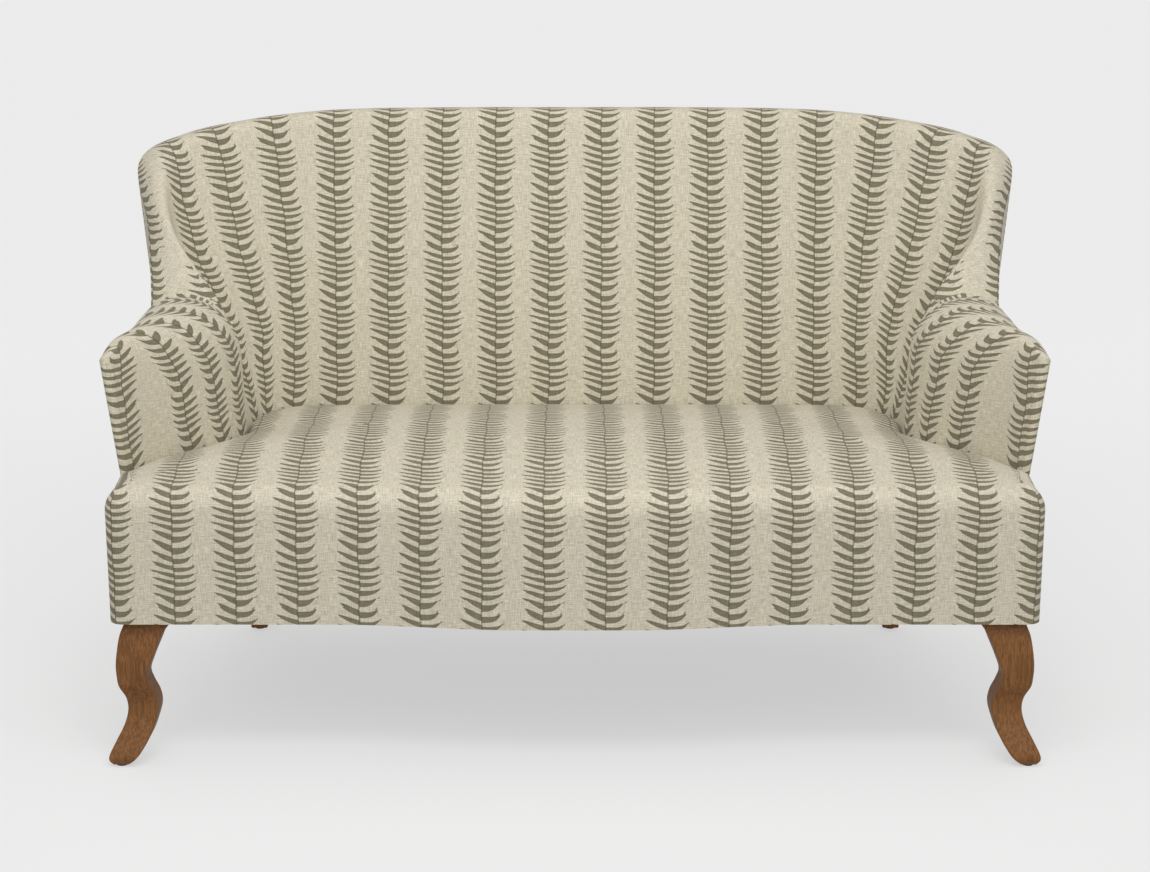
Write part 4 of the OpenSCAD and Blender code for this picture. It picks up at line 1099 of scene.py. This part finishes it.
# %% Staple lines
LINE_INSET, REAR_INSET, LEG_ROOM, LINE_DROP = 0.008, 0.010, 0.115, 0.0003
SIDE_END_Y, REAR_END_X = 0.12, 0.40
low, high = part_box("dust_cover")
side_x, front_y, rear_y = high.x - LINE_INSET, low.y + LINE_INSET, high.y - REAR_INSET
line_ends = [
    [(-side_x + LEG_ROOM, front_y), (side_x - LEG_ROOM, front_y)],
    [(side_x, front_y + LEG_ROOM), (side_x, SIDE_END_Y)],
    [(-side_x, front_y + LEG_ROOM), (-side_x, SIDE_END_Y)],
    [(-REAR_END_X, rear_y), (REAR_END_X, rear_y)],
]
lines = bpy.data.curves.new("staple_lines", "CURVE")
lines.dimensions = "3D"
for ends in line_ends:
    spline = lines.splines.new("POLY")
    spline.points.add(1)
    for point, (x, y) in zip(spline.points, ends):
        point.co = (x, y, low.z - LINE_DROP, 1)
line_object = put_in_scene("staple_lines", lines)
print("staple lines:", len(line_ends))

# %% [markdown]
# The staples could be placed one by one, but a Geometry Nodes tree does it from the lines: it sets one small
# staple at each step and turns it along its line.

# %% Staples
STAPLE_STEP, STAPLE_LENGTH, STAPLE_WIRE = 0.045, 0.010, 0.0009
tree = bpy.data.node_groups.new("staples along a line", "GeometryNodeTree")
tree.interface.new_socket("Line", in_out="INPUT", socket_type="NodeSocketGeometry")
for label, value in (("Step", STAPLE_STEP), ("Length", STAPLE_LENGTH), ("Wire", STAPLE_WIRE)):
    tree.interface.new_socket(label, in_out="INPUT", socket_type=FLOAT).default_value = value
tree.interface.new_socket("Staples", in_out="OUTPUT", socket_type="NodeSocketGeometry")
taken, given = tree.nodes.new("NodeGroupInput").outputs, tree.nodes.new("NodeGroupOutput").inputs
fed = {"Curve": taken["Line"], "Length": taken["Step"]}
paces = add_node(tree, "GeometryNodeCurveToPoints", fed, mode="LENGTH").outputs
size = add_node(tree, "ShaderNodeCombineXYZ", {0: taken["Wire"], 1: taken["Wire"], 2: taken["Length"]})
staple = add_node(tree, "GeometryNodeMeshCube", {"Size": size.outputs[0]})
fed = {"Points": paces["Points"], "Rotation": paces["Rotation"], "Instance": staple.outputs["Mesh"]}
put = add_node(tree, "GeometryNodeInstanceOnPoints", fed)
real = add_node(tree, "GeometryNodeRealizeInstances", {0: put.outputs[0]})
finish = add_node(tree, "GeometryNodeSetMaterial", {0: real.outputs[0], "Material": wire})
feed(tree, given, {0: finish.outputs[0]})
modifier = line_object.modifiers.new("staples", "NODES")
modifier.node_group = tree
for item in tree.interface.items_tree:
    if item.in_out == "INPUT" and item.name == "Step":
        modifier[item.identifier] = STAPLE_STEP
evaluated = line_object.evaluated_get(bpy.context.evaluated_depsgraph_get())
staple_mesh = bpy.data.meshes.new_from_object(evaluated)
bpy.data.objects.remove(line_object)
staples = put_in_scene("dust_cloth_staples", staple_mesh)
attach(staples, "root")
print("staples:", len(staple_mesh.polygons) // 6)

# %% [markdown]
# The room is a large pale floor under a pale sky. Both look near white to the camera, and in mirrors and
# glass, without more light on the settee, because only those rays see their extra glow. The floor pales a
# little with distance, as it does in the photograph, and keeps the settee's shadow.

# %% Floor and sky
FLOOR_SIDE, FLOOR_NEAR, FLOOR_FAR = 90, -60, 120
FLOOR_TONE, FLOOR_GLOW, NEAR_GLOW, FAR_GLOW = 0.37, 0.16, 0.362, 0.423
NEAR_Y, FAR_Y = -1.3, 3.0
SKY_LIGHT, SKY_GLOW = 0.45, 0.38


def seen_rays(tree):
    """One for rays that show the background: straight from the camera, mirrored or through glass."""
    kinds = add_node(tree, "ShaderNodeLightPath").outputs
    seen = calc(tree, "ADD", kinds["Is Camera Ray"], kinds["Is Glossy Ray"])
    return calc(tree, "ADD", seen, kinds["Is Transmission Ray"], clamp=True)


def glow(tree, always, seen_only):
    """A strength that all rays see, and more for those that show the background."""
    return calc(tree, "ADD", always, calc(tree, "MULTIPLY", seen_rays(tree), seen_only))


floor_mesh = bpy.data.meshes.new("floor")
near = [(-FLOOR_SIDE, FLOOR_NEAR, 0), (FLOOR_SIDE, FLOOR_NEAR, 0)]
far = [(FLOOR_SIDE, FLOOR_FAR, 0), (-FLOOR_SIDE, FLOOR_FAR, 0)]
floor_mesh.from_pydata(near + far, [], [(0, 1, 2, 3)])
floor = put_in_scene("floor", floor_mesh)
floor_material, tree, surface = material("pale floor", 0.95, specular=0.0)
paling = ramp(tree, split(tree, object_place(tree))[1], NEAR_Y, FAR_Y, NEAR_GLOW, FAR_GLOW)
feed(tree, surface, {
    "Base Color": (FLOOR_TONE, FLOOR_TONE, FLOOR_TONE, 1),
    "Emission Color": (1, 1, 1, 1),
    "Emission Strength": glow(tree, FLOOR_GLOW, paling),
})
floor_mesh.materials.append(floor_material)
world = bpy.data.worlds.new("room")
bpy.context.scene.world = world
world.use_nodes = True
sky = world.node_tree
fed = {"Color": (1, 1, 1, 1), "Strength": glow(sky, SKY_LIGHT, SKY_GLOW)}
feed(sky, sky.nodes["Background"].inputs, fed)
print("floor glow", FLOOR_GLOW, "sky light", SKY_LIGHT)

# %% [markdown]
# Three lamps give the photograph's even light: a broad one from above that leaves the shade under the seat, a
# soft one from the front, and a panel above the camera's side that reaches down into the crease of the back.


# %% Lamps
def lamp(name, kind, strength, tilt, turn=0, place=(0, 0, 0)):
    """A lamp that is tipped from straight down, and turned."""
    data = bpy.data.lights.new(name, kind)
    data.energy = strength
    made = put_in_scene(name, data)
    made.location = place
    made.rotation_euler = (math.radians(tilt), 0, math.radians(turn))
    return data


lamp("broad light from above", "SUN", strength=0.3, tilt=20).angle = math.radians(90)
lamp("soft light from the front", "SUN", strength=0.77, tilt=56, turn=6).angle = math.radians(60)
panel = lamp("panel above the camera side", "AREA", strength=12, tilt=50, place=(0, -1.2, 1.85))
panel.shape, panel.size, panel.size_y = "RECTANGLE", 1.6, 0.5
bpy.context.scene.view_settings.view_transform = "Standard"
lamps = [made for made in bpy.data.objects if made.type == "LIGHT"]
print("lamps:", [(made.name, round(made.data.energy, 2)) for made in lamps])
